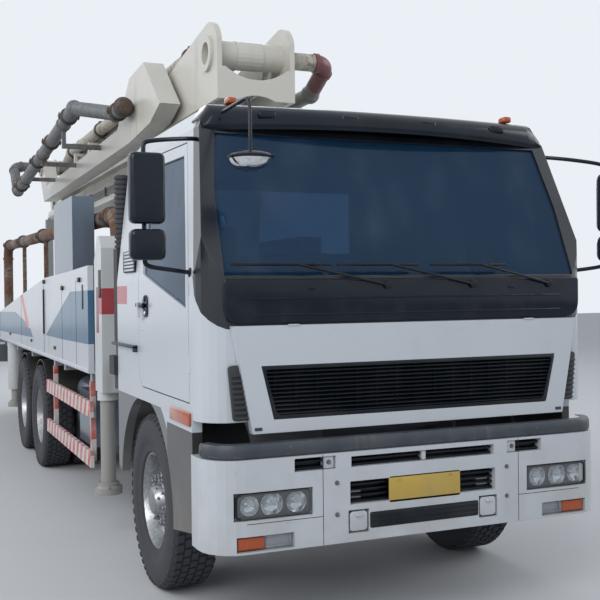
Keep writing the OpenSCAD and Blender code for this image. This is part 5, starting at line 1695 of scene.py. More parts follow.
@dataclass
class Grille:
    """The grille in the front lid: a rounded frame with fine slats before a dark core, a black sheet that
    paints the shade inside the opening.
    """

    z: Span = (1.160, 1.435)
    half: Span = (0.845, 0.910)
    slats: int = 11
    ribs: int = 15
    rib_half: float = 0.83

    def outline(self, inset: float, radius: float) -> list[Span]:
        """The grille's outline, set in.

        Args:
            inset: how far it lies inside the opening.
            radius: its corners' radius.

        Returns:
            Its (x, z) points.
        """
        low, high = self.z[0] + inset, self.z[1] - inset
        a, b = self.half[0] - inset, self.half[1] - inset
        return rounded([(-a, low, radius), (a, low, radius), (b, high, radius), (-b, high, radius)], 5)

    def build(self) -> None:
        """Builds the grille in place of its CAD node."""
        ring = BENCH.plate(
            "grille", facing(self.outline(-0.002, 0.030), 0.104), Vector((0, -0.042, 0)), 0.004
        )
        hole = BENCH.plate("hole", facing(self.outline(0.020, 0.024), 0.2), Vector((0, -0.3, 0)))
        BENCH.cut(ring, [hole])
        parts = [ring]
        span = self.z[1] - self.z[0] - 0.04
        for i in range(self.slats):
            z = self.z[0] + 0.02 + span * (i + 0.5) / self.slats
            share = (z - self.z[0]) / (self.z[1] - self.z[0])
            half = self.half[0] + (self.half[1] - self.half[0]) * share - 0.015
            shape = [(0.098, z + 0.004), (0.070, z - 0.007), (0.070, z - 0.002), (0.096, z + 0.009)]
            parts.append(BENCH.plate("slat", beside(shape, -half), Vector((2 * half, 0, 0))))
        for i in range(self.ribs):
            x = (i / (self.ribs - 1) * 2.0 - 1.0) * self.rib_half
            one, other = (x - 0.003, 0.088, self.z[0] + 0.01), (x + 0.003, 0.098, self.z[1] - 0.01)
            parts.append(BENCH.box("rib", one, other))
        # painted shade: a black sheet closes the opening behind the slats, where shade falls
        parts.append(BENCH.plate("core", facing(self.outline(0.006, 0.02), 0.107), Vector((0, -0.006, 0))))
        BENCH.show(parts, "front_grille", Finishes.grille, "front_lid", "black_plastic", replaces=["grille"])
        latches = []
        for x in (-0.93, 0.93):
            latches.append(BENCH.box("lid_stop", (x - 0.02, 0.057, 1.108), (x + 0.02, 0.066, 1.124), 0.003))
        BENCH.show(latches, "lid_stops", Finishes.plastic, "front_lid", "black_plastic")


@dataclass
class Lamps:
    """Head lamps with bowls and lenses, indicators, repeaters, marker and tail lamps."""

    head: tuple[float, float, float, float] = (0.668, 1.077, 0.680, 0.804)
    turn: tuple[float, float, float, float] = (0.772, 1.064, 0.523, 0.584)
    tail: tuple[float, float, float, float] = (0.763, 1.072, 0.826, 0.934)
    tail_y: float = 10.951
    bowls: tuple[Span, ...] = ((0.745, 0.055), (0.880, 0.060), (1.000, 0.050))

    def reflector(self, x: float, z: float, radius: float) -> Piece:
        """One round bowl with its bulb.

        Args:
            x: its middle's x.
            z: its height.
            radius: its radius.

        Returns:
            The bowl.
        """
        zero, axis = spot(x, 0, z), Vector((0, 1, 0))
        shape = [
            (0.047, 0.0005), (0.047, radius * 0.3), (0.040, radius * 0.72), (0.020, radius), (0.017, radius),
            (0.017, radius * 0.94), (0.036, radius * 0.68), (0.043, radius * 0.25), (0.043, 0.0005),
        ]
        bowl = BENCH.lathe("bowl", shape, zero, axis, 32)
        shape = [(0.022, 0.0005), (0.023, 0.006), (0.028, 0.010), (0.044, 0.010), (0.044, 0.0005)]
        bulb = BENCH.lathe("bulb", shape, zero, axis, 16)
        return BENCH.join([bowl, bulb], "reflector")

    def front(self, side: Side) -> None:
        """Builds one side's lamps in the bumper, and its repeater and marker.

        Args:
            side: the side.
        """
        s, word = side.value, side.word
        x0, x1, z0, z1 = self.head
        mid = (z0 + z1) / 2
        back = BENCH.box("back", (s * x0, 0.0445, z0), (s * x1, 0.0495, z1), 0.001)
        bowls = [self.reflector(s * x, mid, radius) for x, radius in self.bowls]
        BENCH.show(bowls, f"head_bowls_{word}", Finishes.bowl, "truck", "lamp_lens")
        BENCH.show([back], f"head_back_{word}", Finishes.lamp_dark, "truck", "lamp_lens")
        shape = rounded([(x0, z0, 0.015), (x1, z0, 0.020), (x1, z1, 0.020), (x0, z1, 0.015)], 4)
        rows = [[], []]
        for k in range(13):
            x = x0 + (x1 - x0) * k / 12
            bend = 0.19 - math.sqrt(0.19**2 - max(0.0, x - 1.025) ** 2)
            rows[0].append(spot(s * x, 0.010 + bend, z0))
            rows[1].append(spot(s * x, 0.010 + bend, z1))
        lens = BENCH.skin(f"head_lens_{word}", rows if s > 0 else [list(reversed(r)) for r in rows], 0.003)
        BENCH.dress(lens, Finishes.lens, "truck", "lamp_lens")
        rim = BENCH.plate("rim", facing([(s * a, b) for a, b in shape], 0.020), Vector((0, -0.010, 0)), 0.002)
        left, right, low, high = x0 + 0.010, x1 - 0.010, z0 + 0.010, z1 - 0.010
        inner = rounded(
            [(left, low, 0.012), (right, low, 0.014), (right, high, 0.014), (left, high, 0.012)], 4
        )
        BENCH.cut(
            rim, [BENCH.plate("hole", facing([(s * a, b) for a, b in inner], 0.05), Vector((0, -0.10, 0)))]
        )
        BENCH.show([rim], f"head_rim_{word}", Finishes.lamp_dark, "truck", "lamp_lens")
        x0, x1, z0, z1 = self.turn
        half = (x0 + x1) / 2
        cells = (("clear", x0, half - 0.002, Finishes.lens), ("amber", half + 0.002, x1, Finishes.amber))
        for name, a, b, finish in cells:
            cell = BENCH.box(f"turn_{name}_{word}", (s * a, 0.016, z0), (s * b, 0.049, z1), 0.007, 3)
            BENCH.dress(cell, finish, "truck", "lamp_lens")
        one, other = (s * 1.2055, 0.322, 1.114), (s * 1.2185, 0.698, 1.186)
        BENCH.dress(BENCH.box(f"repeater_{word}", one, other, 0.006, 3), Finishes.amber, "truck", "lamp_lens")
        one, other = (s * 0.872, 0.482, 2.841), (s * 0.928, 0.558, 2.879)
        BENCH.dress(BENCH.box(f"marker_{word}", one, other, 0.014, 4), Finishes.amber, "truck", "lamp_lens")
        x0, x1, z0, z1 = self.tail
        third = (x1 - x0) / 3
        for i, finish in enumerate((Finishes.lens, Finishes.red_lens, Finishes.amber)):
            near, far = (s * (x0 + third * k) for k in (i, i + 1))
            one, other = (near + s * 0.002, self.tail_y, z0), (far - s * 0.002, self.tail_y + 0.048, z1)
            BENCH.dress(BENCH.box(f"tail_{i}_{word}", one, other, 0.008, 3), finish, "truck", "lamp_lens")

    def build(self) -> None:
        """Builds all lamps and hides the CAD node that they stand for."""
        for side in Side:
            self.front(side)
        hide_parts("lamps")


@dataclass
class Mirrors:
    """Rounded mirror cases on bent arms, and the round mirror before the visor."""

    cases: tuple[Span, ...] = ((2.155, 2.510), (1.975, 2.130))
    x: Span = (1.365, 1.545)
    y: Span = (0.165, 0.240)
    arm_d: float = 0.024
    dome: Point = (-1.000, -0.060, 2.470)

    def case(self, side: Side, z: Span) -> tuple[Piece, Piece]:
        """One case and its glass.

        Args:
            side: its side.
            z: its lower and upper edge.

        Returns:
            The case and the glass.
        """
        s = side.value
        x0, x1 = self.x
        low, high = sorted((s * x0, s * x1))
        shape = rounded_box((low, high), z, 0.035)
        body = BENCH.plate(
            "mirror_case", facing(shape, self.y[1]), Vector((0, self.y[0] - self.y[1], 0)), 0.024, 5
        )
        mid_x, mid_z, inset = (low + high) / 2, sum(z) / 2, 0.010
        rim = [(a + (inset if a < mid_x else -inset), b + (inset if b < mid_z else -inset)) for a, b in shape]
        glass = BENCH.plate("mirror_glass", facing(rim, self.y[1] + 0.0005), Vector((0, 0.003, 0)), 0.001)
        return body, glass

    def build(self) -> None:
        """Builds the mirrors in place of their CAD node."""
        mid_x, arm_y = sum(self.x) / 2, self.y[1] + 0.022
        for side in Side:
            s = side.value
            cases, panes = zip(*(self.case(side, z) for z in self.cases))
            route = [(1.09, 0.245, 2.640), (1.16, 0.13, 2.625), (1.40, 0.0, 2.585)]
            route += [(mid_x, 0.0, z) for z in (2.570, 2.545, 2.30, 1.99, 1.955)]
            route += [(1.42, 0.0, 1.940), (1.28, 0.02, 1.925), (1.196, 0.06, 1.915)]
            arm = BENCH.tube("mirror_arm", [spot(s * x, arm_y + y, z) for x, y, z in route], self.arm_d, 4)
            clips = []
            for low, high in self.cases:
                mid = (low + high) / 2
                one = (s * (mid_x - 0.022), self.y[1] - 0.002, mid - 0.032)
                other = (s * (mid_x + 0.022), arm_y + 0.006, mid + 0.032)
                clips.append(BENCH.box("clip", one, other, 0.006))
            outline = [(0.0, 0.001), (0.0, 0.030), (0.012, 0.026), (0.020, 0.014), (0.020, 0.001)]
            foot = BENCH.lathe("foot", outline, spot(s * 1.192, arm_y + 0.06, 1.915), Vector((s, 0, 0)), 20)
            whole, looks = [*cases, arm, *clips, foot], (Finishes.mirror_case, "truck", "mirror_case", 40.0)
            BENCH.show(whole, f"mirror_{side.word}", *looks, ["mirrors"] if side is Side.RIGHT else ())
            BENCH.show(list(panes), f"mirror_glass_{side.word}", Finishes.silver, "truck", "mirror_case")
        self.front_mirror()

    def front_mirror(self) -> None:
        """Builds the round mirror on its arm before the visor."""
        x, y, z = self.dome
        outline = [
            (-0.006, 0.0005), (-0.006, 0.112), (0.004, 0.118), (0.014, 0.108), (0.026, 0.070), (0.030, 0.0005)
        ]
        bowl = BENCH.lathe("front_mirror_case", outline, spot(x, y, z), UP, 40)
        route = ((0.0, 0.02), (0.0, 0.14), (0.002, 0.27), (0.03, 0.310), (0.15, 0.300), (0.43, 0.296))
        rod = BENCH.tube("front_mirror_arm", [spot(x, y + a, z + b) for a, b in route], 0.019, 4)
        BENCH.show([bowl, rod], "front_mirror", Finishes.mirror_case, "truck", "mirror_case", 45.0)
        outline = [
            (-0.007, 0.0005), (-0.007, 0.108), (-0.030, 0.098), (-0.054, 0.072), (-0.067, 0.036),
            (-0.070, 0.0005),
        ]
        face = BENCH.lathe("front_mirror_face", outline, spot(x, y, z), UP, 40)
        BENCH.dress(face, Finishes.silver, "truck", "mirror_case", 60.0)


@dataclass
class Seats:
    """Two padded cab seats, swelled by cloth simulation, with piped seams."""

    voxel: float = 0.011
    frames: int = 12
    cap: float = 0.014
    seat_x: float = 0.700
    piped: tuple[tuple[Span, Span, float], ...] = (
        ((1.06, 1.640), (1.50, 1.648), 0.215),
        ((1.548, 1.68), (1.660, 2.20), 0.190),
    )

    def pad(self) -> Piece:
        """The swelled pads, started from the CAD solids."""
        source = bpy.data.objects["seats"]
        pad = source.copy()
        pad.data = source.data.copy()
        for key in list(pad.keys()):
            del pad[key]
        bpy.context.collection.objects.link(pad)
        pad.hide_render = pad.hide_viewport = False
        BENCH.only(pad)
        pad.name = "seat_pads"
        BENCH.edit()
        bpy.ops.mesh.remove_doubles(threshold=0.0002)
        bpy.ops.mesh.normals_make_consistent(inside=False)
        bpy.ops.object.mode_set(mode="OBJECT")
        soft = pad.modifiers.new("remesh", "REMESH")
        soft.mode = "VOXEL"
        soft.voxel_size = self.voxel
        bpy.ops.object.modifier_apply(modifier=soft.name)
        smooth = pad.modifiers.new("soften", "SMOOTH")
        smooth.factor, smooth.iterations = 0.5, 8
        bpy.ops.object.modifier_apply(modifier=smooth.name)
        self.swell(pad)
        return pad

    def swell(self, pad: Piece) -> None:
        """Blows the pads up a little with a cloth simulation and caps how far each point moves.

        Args:
            pad: the pads.
        """
        before = [vertex.co.copy() for vertex in pad.data.vertices]
        cloth = pad.modifiers.new("cloth", "CLOTH")
        cloth.settings.use_pressure = True
        cloth.settings.uniform_pressure_force = 4.0
        cloth.settings.effector_weights.gravity = 0.0
        cloth.settings.quality = 4
        scene = bpy.context.scene
        for number in range(1, self.frames + 1):
            scene.frame_set(number)
        BENCH.only(pad)
        bpy.ops.object.modifier_apply(modifier=cloth.name)
        scene.frame_set(1)
        for vertex, start in zip(pad.data.vertices, before):
            move = vertex.co - start
            if move.length > self.cap:
                vertex.co = start + move.normalized() * self.cap

    def seams(self) -> Piece:
        """Piping along the cushions' and backs' edges."""
        made = []
        for side in Side:
            x = side.value * self.seat_x
            for start, end, half in self.piped:
                for edge in (-half, half):
                    route = [spot(x + edge, y, z + 0.006) for y, z in (start, end)]
                    mid = (route[0] + route[1]) / 2 + Vector((0, 0, 0.004))
                    made.append(BENCH.tube("seam", [route[0], mid, route[1]], 0.009, 2))
        return BENCH.join(made, "seat_seams")

    def build(self) -> None:
        """Builds the padded seats in place of their CAD node."""
        pad = self.pad()
        BENCH.dress(pad, Finishes.cloth, "truck", "seat_fabric", 60.0, ["seats"])
        BENCH.dress(self.seams(), Finishes.piping, "truck", "seat_fabric", 60.0)


@dataclass
class DoorDetails:
    """Door handles, locks, side louvres and step brackets."""

    outer_x: float = 1.205
    handle_y: Span = (1.195, 1.300)
    handle_z: Span = (1.665, 1.800)
    lock_y: float = 1.248
    louvre_y: Span = (1.520, 1.850)
    louvre_z: Span = (1.945, 2.085)
    fins: int = 6
    fin_pitch: float = 0.022

    def handle(self, side: Side) -> None:
        """One door's handle.

        Args:
            side: its side.
        """
        s, x = side.value, side.value * self.outer_x
        shape = rounded_box(self.handle_y, self.handle_z, 0.045, 6)
        plate = BENCH.plate("handle_plate", beside(shape, x - s * 0.002), Vector((s * 0.010, 0, 0)), 0.004)
        shape = rounded(
            [(1.225, 1.722, 0.008), (1.405, 1.728, 0.010), (1.405, 1.752, 0.010), (1.225, 1.750, 0.008)], 3
        )
        grip = BENCH.plate("grip", beside(shape, x + s * 0.012), Vector((s * 0.020, 0, 0)), 0.006)
        lock = BENCH.rod(
            "lock", spot(x, self.lock_y, 1.778), spot(x + s * 0.016, self.lock_y, 1.778), 0.034, 20, 0.003
        )
        body = f"door_{side.word}"
        BENCH.show(
            [plate, grip, lock], f"door_handle_{side.word}", Finishes.mirror_case, body, "black_plastic"
        )
        pin = BENCH.rod(
            "barrel", spot(x, self.lock_y, 1.690), spot(x + s * 0.014, self.lock_y, 1.690), 0.026, 16, 0.003
        )
        screw = BENCH.rod(
            "screw", spot(x - s * 0.001, 1.350, 1.584), spot(x + s * 0.003, 1.350, 1.584), 0.012, 10
        )
        BENCH.show([pin, screw], f"door_lock_{side.word}", Finishes.chrome, body, "black_plastic")

    def louvre(self, side: Side) -> None:
        """One louvre behind the door, with white slats over a black sheet that paints the shade in its
        opening.

        Args:
            side: its side.
        """
        s, x = side.value, side.value * self.outer_x
        (y0, y1), (z0, z1) = self.louvre_y, self.louvre_z
        shape = rounded([(y0, z0, 0.02), (y1, z0, 0.03), (y1, z1, 0.02), (y0, z1, 0.02)], 4)
        # painted shade: a black sheet behind the slats stands for the shade in the opening
        dark = BENCH.plate("louvre_core", beside(shape, x - s * 0.002), Vector((s * 0.005, 0, 0)), 0.001)
        BENCH.show([dark], f"louvre_core_{side.word}", Finishes.lamp_dark, "truck", "black_plastic")
        slats = []
        for i in range(self.fins):
            z = z0 + 0.012 + i * self.fin_pitch
            shape = [(1.540, z), (1.800, z), (1.800, z + 0.013), (1.540, z + 0.013)]
            slats.append(
                BENCH.plate("fin", beside(shape, x + s * 0.001), Vector((s * 0.008, 0, -0.004)), 0.002)
            )
        BENCH.show(slats, f"louvre_{side.word}", Finishes.cab_white, "truck", "panel_paint")

    def bracket(self, side: Side) -> None:
        """One step bracket on the arch behind the door.

        Args:
            side: its side.
        """
        s = side.value
        step = BENCH.box("bracket", (s * 1.150, 1.480, 1.462), (s * 1.235, 2.120, 1.480), 0.004)
        lip = BENCH.box("lip", (s * 1.150, 1.480, 1.440), (s * 1.235, 1.500, 1.484), 0.004)
        BENCH.show([step, lip], f"step_bracket_{side.word}", Finishes.strip, "truck", "panel_paint")

    def build(self) -> None:
        """Builds both sides."""
        for side in Side:
            self.handle(side)
            self.louvre(side)
            self.bracket(side)


@dataclass
class Wipers:
    """Three wipers with curved arms and rubber blades at the windscreen's foot."""

    rows: tuple[tuple[float, float, float], ...] = (
        (-0.180, -1.060, -0.500), (0.360, -0.470, 0.020), (0.880, 0.100, 0.590)
    )
    y: float = 0.074
    pivot_z: float = 1.842
    blade_z: float = 1.950

    def build(self) -> None:
        """Builds the wipers; they stand in for those in the cab's black trim."""
        parts = []
        for pivot, first, last in self.rows:
            mid, low, high = first * 0.35 + last * 0.65, self.pivot_z, self.blade_z
            knob = BENCH.rod("knob", spot(pivot, 0.080, low), spot(pivot, 0.058, low), 0.042, 20, 0.004)
            bent = pivot + (mid - pivot) * 0.4
            route = ((pivot, -0.010, low), (bent, -0.020, 1.886), (mid, -0.006, high))
            arm = BENCH.tube("wiper_arm", [spot(x, self.y + y, z) for x, y, z in route], 0.015, 2)
            one = (first, self.y + 0.004, high - 0.007)
            blade = BENCH.box("blade", one, (last, self.y + 0.018, high + 0.007), 0.003)
            route = ((first + 0.09, 0.004, 0.0), (mid, -0.014, 0.004), (last - 0.09, 0.004, 0.0))
            bow = BENCH.tube("bow", [spot(x, self.y + y, high + z) for x, y, z in route], 0.010, 2)
            parts += [knob, arm, blade, bow]
        BENCH.show(parts, "wipers", Finishes.lamp_dark, "truck", "black_plastic", 40.0)


@dataclass
class BumperDetails:
    """Slatted inserts, tow covers, bolts, seams and the blank plate of the bumper."""

    bottom_half: float = 0.335
    bottom_z: Span = (0.566, 0.650)
    plate_half: float = 0.22
    plate_z: Span = (0.688, 0.828)
    side_x: Span = (0.531, 0.759)
    tow_x: Span = (0.349, 0.451)
    tow_z: Span = (0.559, 0.661)
    slot_bolt: Span = (0.566, 0.930)
    edge_bolts: tuple[Span, ...] = ((0.524, 0.820), (0.524, 0.656))

    def bars(self, name: str, x: Span, z: Span, count: int) -> list[Piece]:
        """Black slats before a dark core in one opening, a black block that paints the shade in it.

        Args:
            name: the parts' name.
            x: the opening's sides.
            z: its lower and upper edge.
            count: the number of slats.

        Returns:
            The parts.
        """
        # painted shade: the first block fills the opening behind the slats with black
        made = [BENCH.box(name, (x[0] + 0.004, 0.0615, z[0] - 0.01), (x[1] - 0.004, 0.070, z[1] + 0.01))]
        for i in range(count):
            at = z[0] + (z[1] - z[0]) * (i + 0.5) / count
            shape = [(0.060, at - 0.004), (0.026, at - 0.010), (0.026, at - 0.003), (0.060, at + 0.005)]
            made.append(BENCH.plate(name, beside(shape, x[0] + 0.002), Vector((x[1] - x[0] - 0.004, 0, 0))))
        return made

    def build(self) -> None:
        """Builds the details on the bumper."""
        dark = self.bars("upper_insert", (-0.439, 0.439), (0.896, 0.949), 2)
        dark += self.bars("lower_insert", (-0.447, 0.447), (0.701, 0.819), 4)
        shape = rounded_box((-self.bottom_half, self.bottom_half), self.bottom_z, 0.012, 4)
        dark.append(BENCH.plate("bottom_insert", facing(shape, 0.002), Vector((0, -0.0035, 0)), 0.001))
        for i in range(3):
            dark.append(
                BENCH.box("slat", (-0.33, -0.006, 0.582 + 0.024 * i), (0.33, 0.0, 0.588 + 0.024 * i), 0.001)
            )
        for side in Side:
            s = side.value
            low, high = sorted(s * x for x in self.side_x)
            dark += self.bars("side_insert", (low, high), (0.896, 0.961), 2)
        BENCH.show(dark, "bumper_inserts", Finishes.grille, "truck", "black_plastic")
        white, bolts, seams = [], [], []
        for side in Side:
            s = side.value
            low, high = sorted(s * x for x in self.tow_x)
            shape = rounded_box((low, high), self.tow_z, 0.022)
            cover = BENCH.plate("tow_cover", facing(shape, 0.010), Vector((0, -0.008, 0)), 0.004)
            notch = BENCH.box("notch", (s * 0.380, -0.01, 0.636), (s * 0.420, 0.0065, 0.650), 0.003)
            white.append(BENCH.cut(cover, [notch]))
            white.append(
                BENCH.box("slot_bracket", (s * 0.534, 0.012, 0.896), (s * 0.594, 0.058, 0.960), 0.006)
            )
            bolts.append(turned(spot(s * self.slot_bolt[0], 0.012, self.slot_bolt[1]), AHEAD))
            bolts += [turned(spot(s * x, 0.001, z), AHEAD) for x, z in self.edge_bolts]
            for x, z in (((0.6015, 0.6045), (0.508, 0.972)), ((0.604, 1.020), (0.6535, 0.6565))):
                seams.append(BENCH.box("seam", (s * x[0], -0.0006, z[0]), (s * x[1], 0.004, z[1])))
        white.append(BENCH.box("top_lip", (-0.012, 0.010, 0.897), (0.012, 0.060, 0.948), 0.004))
        BENCH.show(white, "bumper_covers", Finishes.cab_white, "truck", "panel_paint")
        BENCH.dress(BENCH.copies(bolt(0.019, 0.010), bolts, "bumper_bolts"), Finishes.bolt, "truck", "steel")
        BENCH.show(seams, "bumper_seams", Finishes.lamp_dark, "truck", "black_plastic")
        shape = rounded_box((-self.plate_half, self.plate_half), self.plate_z, 0.012, 4)
        plate = BENCH.plate("blank_plate", facing(shape, 0.006), Vector((0, -0.006, 0)), 0.002)
        studs = BENCH.copies(
            bolt(0.012, 0.006), [turned(spot(x, 0.0, 0.808), AHEAD) for x in (-0.16, 0.16)], "studs"
        )
        BENCH.show([plate, studs], "blank_plate", Finishes.plate, "truck", "panel_paint")


@dataclass
class BoomDetails:
    """Pin caps and hard hydraulic lines of the folding boom."""

    joints: tuple[tuple[str, float, float, float, float], ...] = (
        ("turret", 0.225, 3.300, 3.090, 0.075),
        ("boom_1", 0.201, 11.400, 3.280, 0.075),
        ("turret", 0.226, 3.610, 2.110, 0.060),
        ("boom_1", 0.078, 4.600, 2.880, 0.045),
    )
    hard_lines: tuple[tuple[str, float, Span, Span, int], ...] = (
        ("boom_1", -0.165, (4.00, 3.10), (10.60, 3.10), 4),
        ("boom_3", -0.110, (4.00, 3.82), (9.60, 3.82), 3),
    )
    line_pitch: float = 0.026
    clip_count: int = 7

    def cap(self, body: str, x: float, y: float, z: float, radius: float) -> list[Piece]:
        """Bolted caps on both ends of a pin.

        Args:
            body: the body that the pin is on.
            x: half its length.
            y: its place behind the bumper.
            z: its height.
            radius: the caps' radius.

        Returns:
            The caps.
        """
        made = []
        for side in Side:
            axis = Vector((side.value, 0, 0))
            at = spot(side.value * x, y, z)
            shape = [
                (-0.004, 0.0005), (-0.004, radius), (0.006, radius), (0.010, radius * 0.9), (0.010, 0.0005)
            ]
            disc = BENCH.lathe("cap", shape, at, axis, 32)
            places = circle_places(at + axis * 0.010, axis, radius * 0.62, 4, 0.4)
            heads = BENCH.copies(bolt(0.024, 0.013), places, "heads")
            made.append(BENCH.join([disc, heads], f"pin_cap_{body}"))
        return made

    def lines(self, body: str, x: float, start: Span, end: Span, count: int) -> None:
        """Hard hydraulic lines along an arm, with their clips.

        Args:
            body: the arm's body.
            x: the arm's side face.
            start: the (y, z) of their front ends.
            end: the (y, z) of their rear ends.
            count: the number of lines.
        """
        s = math.copysign(1.0, x)
        parts, clips = [], []
        for i in range(count):
            drop = self.line_pitch * i
            ends = [spot(x + s * 0.016, y, z - drop) for y, z in (start, end)]
            parts.append(BENCH.rod("line", *ends, 0.016, 10))
            for y, z in (start, end):
                near, far = (spot(x + s * 0.016, y + reach, z - drop) for reach in (-0.025, 0.025))
                parts.append(BENCH.rod("fitting", near, far, 0.026, 6))
        for k in range(self.clip_count):
            t = (k + 0.5) / self.clip_count
            y, z = start[0] + (end[0] - start[0]) * t, start[1] + (end[1] - start[1]) * t
            one = (x, y - 0.018, z - self.line_pitch * (count - 1) - 0.016)
            clips.append(BENCH.box("clip", one, (x + s * 0.030, y + 0.018, z + 0.016), 0.004))
        BENCH.show(parts, f"hard_lines_{body}", Finishes.steel, body, "steel")
        BENCH.show(clips, f"line_clips_{body}", Finishes.hose, body, "black_plastic")

    def build(self) -> None:
        """Builds the boom's details, each on its arm's body."""
        caps: dict[str, list[Piece]] = {}
        for body, x, y, z, radius in self.joints:
            caps.setdefault(body, []).extend(self.cap(body, x, y, z, radius))
        for body, parts in caps.items():
            BENCH.show(parts, f"pin_caps_{body}", Finishes.bolt, body, "steel")
        for run in self.hard_lines:
            self.lines(*run)


@dataclass
class SideDetails:
    """Hinges, seams, slots drawn as thin black slabs of painted shade, struts, latches and lips of the body's
    side panels.
    """

    x: float = 1.235
    seam_foot: float = 1.215
    seams: tuple[Span, ...] = ((4.180, 1.90), (3.480, 1.92), (5.290, 1.90), (7.060, 1.80), (9.380, 1.56))
    hinges: tuple[Span, ...] = ((5.22, 1.935), (4.12, 1.865), (3.30, 1.925))
    latches: tuple[float, ...] = (4.60, 6.20, 8.20)

    def build(self) -> None:
        """Builds both sides."""
        black, seams, lips = [], [], []
        for side in Side:
            s = side.value
            out = s * self.x

            def slab(low: Point, high: Point, edge: float = 0.002) -> Piece:
                """A small block on this side, its x as a distance from the panel's face."""
                one, other = ((out + s * x, y, z) for x, y, z in (low, high))
                return BENCH.box("slab", one, other, edge)

            for y, z in self.hinges:
                black.append(slab((-0.012, y - 0.045, z - 0.020), (0.016, y + 0.045, z + 0.018), 0.005))
            # painted shade: a thin black slab stands for the shade in a slot of the panel
            black.append(slab((-0.002, 3.160, 1.69), (0.004, 3.200, 1.885), 0.001))
            black.append(slab((-0.002, 5.235, 1.42), (0.014, 5.262, 1.86), 0.004))
            for y, high in self.seams:
                seams.append(slab((-0.001, y - 0.003, self.seam_foot), (0.0012, y + 0.003, high), 0.0))
            for y in self.latches:
                black.append(slab((-0.002, y - 0.045, 1.300), (0.010, y + 0.045, 1.330), 0.004))
            lips.append(slab((-0.004, 2.970, 1.198), (0.006, 10.370, 1.232), 0.003))
        BENCH.show(black, "panel_fittings", Finishes.lamp_dark, "truck", "black_plastic")
        BENCH.show(seams, "panel_seams", Finishes.lamp_dark, "truck", "black_plastic")
        BENCH.show(lips, "panel_lips", Finishes.cab_white, "truck", "panel_paint")


@dataclass
class OutriggerDetails:
    """Slots in the front outriggers' columns, drawn as black blocks of painted shade, and bolted collars on
    all feet.
    """

    column_x: float = 1.222
    front_foot: Span = (1.160, 2.630)
    rear_foot: Span = (1.120, 8.730)

    def build(self) -> None:
        """Builds them on the beams' and legs' own bodies."""
        for side in Side:
            s, word = side.value, side.word
            beam, leg = f"front_beam_{word}", f"front_leg_{word}"
            x = s * self.column_x
            # painted shade: a black block on the column's face stands for the shade inside the slot
            slot = BENCH.box("slot", (x - s * 0.002, 2.520, 1.780), (x + s * 0.004, 2.600, 1.985), 0.001)
            BENCH.show([slot], f"column_slot_{word}", Finishes.lamp_dark, beam, "black_plastic")
            for (foot_x, y), body in ((self.front_foot, leg), (self.rear_foot, f"rear_leg_{word}")):
                at = s * foot_x
                shape = [
                    (0.045, 0.050), (0.045, 0.094), (0.052, 0.090), (0.060, 0.078), (0.085, 0.078),
                    (0.085, 0.050),
                ]
                ring = BENCH.lathe("foot_ring", shape, spot(at, y, 0.330), UP, 32)
                heads = BENCH.copies(
                    bolt(0.020, 0.012), circle_places(spot(at, y, 0.379), UP, 0.086, 4, 0.6), "heads"
                )
                BENCH.show([ring, heads], f"foot_collar_{body}", Finishes.leg, body, "panel_paint")


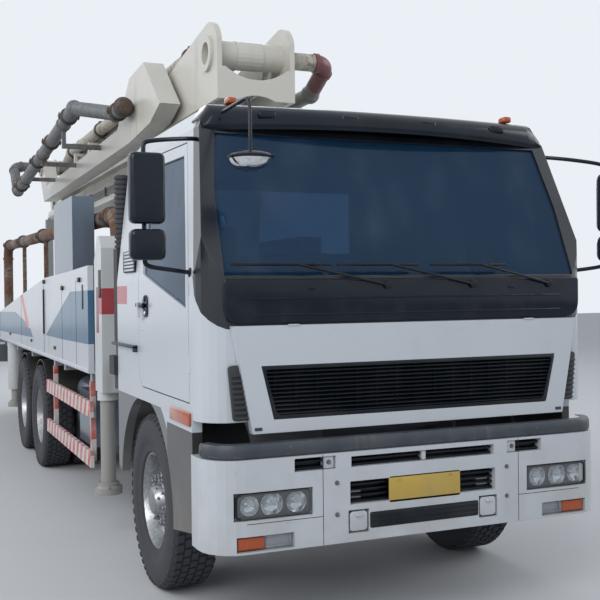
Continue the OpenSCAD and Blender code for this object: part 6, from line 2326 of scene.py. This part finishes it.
@dataclass
class Pipework:
    """Bolted clamps along the concrete pipes, and the coupling on the last pipe's free end."""

    runs: tuple[tuple[str, Point, Point, tuple[float, ...], Point], ...] = (
        ("boom_1", (0.495, 4.0, 3.060), (0.495, 10.8, 3.060), (0.02, 0.30, 0.58, 0.97), (0, 0, 1)),
        ("boom_2", (0.705, 10.8, 3.500), (0.705, 3.3, 3.500), (0.03, 0.38, 0.70, 0.98), (0, 0, 1)),
        ("boom_3", (-0.193, 3.4, 3.850), (-0.193, 9.6, 3.850), (0.03, 0.32, 0.66, 0.97), (1, 0, 0)),
        ("boom_4", (-0.930, 9.800, 3.290), (-0.930, 5.150, 3.650), (0.10, 0.45, 0.68, 0.93), (0, 0, 1)),
        ("boom_4", (-0.640, 4.600, 3.520), (-0.640, 4.250, 3.520), (0.30,), (0, 0, 1)),
        (
            "truck", (-0.910, 3.300, 2.450), (-0.910, 11.300, 2.580), (0.0375, 0.28, 0.52, 0.76, 0.9625),
            (0, 0, 1),
        ),
        ("truck", (-0.910, 3.300, 1.630), (-0.910, 3.300, 2.450), (0.45,), (0, 1, 0)),
        ("turret", (0.285, 3.450, 2.125), (0.285, 3.300, 3.090), (0.50,), (0, 1, 0)),
    )
    pipe_r: float = 0.070

    def clamp(self, at: Vector, way: Vector, up: Vector) -> Piece:
        """A two-part pipe clamp with its bolts.

        Args:
            at: its middle on the pipe's line.
            way: the pipe's direction.
            up: the direction of its bolts.

        Returns:
            The clamp.
        """
        r = self.pipe_r
        half = [(-0.026, r + 0.001), (-0.026, r + 0.012), (-0.012, r + 0.021)]
        shape = half + [(-a, b) for a, b in reversed(half)]
        parts = [BENCH.lathe("clamp_ring", shape, at, way, 36)]
        out = way.cross(up).normalized()
        for sign in (1, -1):
            mid = at + out * sign * (r + 0.026)
            section = ((-0.017, -0.012), (0.017, -0.012), (0.012, 0.014), (-0.012, 0.014))
            corners = [mid + way * a + out * sign * b - up * 0.014 for a, b in section]
            parts.append(BENCH.plate("lug", corners, up * 0.028, 0.003))
            parts.append(BENCH.rod("stem", mid - up * 0.032, mid + up * 0.040, 0.011, 8))
            for low in (0.014, -0.026):
                parts.append(BENCH.rod("nut", mid + up * low, mid + up * (low + 0.012), 0.020, 6))
        return BENCH.join(parts, "clamp")

    def build(self) -> None:
        """Builds all clamps, joined body by body."""
        found: dict[str, list[Piece]] = {}
        for body, start, end, shares, up in self.runs:
            p, q = spot(*start), spot(*end)
            way = (q - p).normalized()
            true_up = Vector(up) - way * Vector(up).dot(way)
            for share in shares:
                found.setdefault(body, []).append(self.clamp(p + (q - p) * share, way, true_up.normalized()))
        for body, parts in found.items():
            BENCH.show(parts, f"pipe_clamps_{body}", Finishes.clamp, body, "steel")
        self.end_cap()

    def end_cap(self) -> None:
        """Closes the last pipe's free end with a thick ribbed coupling."""
        shape = [(0.0, 0.0), (0.0, 0.050), (0.012, 0.074), (0.030, 0.080), (0.050, 0.080), (0.058, 0.094)]
        shape += [(0.078, 0.094), (0.086, 0.082), (0.120, 0.082), (0.126, 0.074), (0.126, 0.0711)]
        shape += [(0.046, 0.0711), (0.046, 0.0)]
        cap = BENCH.lathe("end_coupling", shape, spot(-0.640, 4.200, 3.520), Vector((0.0, 1.0, 0.0)), 40)
        BENCH.dress(cap, Finishes.clamp, "boom_4", "steel")


def main() -> None:
    """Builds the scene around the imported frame, sub-assembly by sub-assembly."""
    logging.basicConfig(level=logging.INFO, format="%(name)s: %(message)s")
    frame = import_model()
    Studio().build()
    NodeFinishes(frame["nodes"]).build()
    assemblies = (
        Wheels(), FrontTrim(), Grille(), Lamps(), Mirrors(), Seats(), DoorDetails(), Wipers(),
        BumperDetails(), BoomDetails(), Pipework(), SideDetails(), OutriggerDetails(),
    )
    for assembly in assemblies:
        LOG.info("building %s", type(assembly).__name__)
        assembly.build()
    BENCH.clear()


if __name__ == "__main__":
    main()
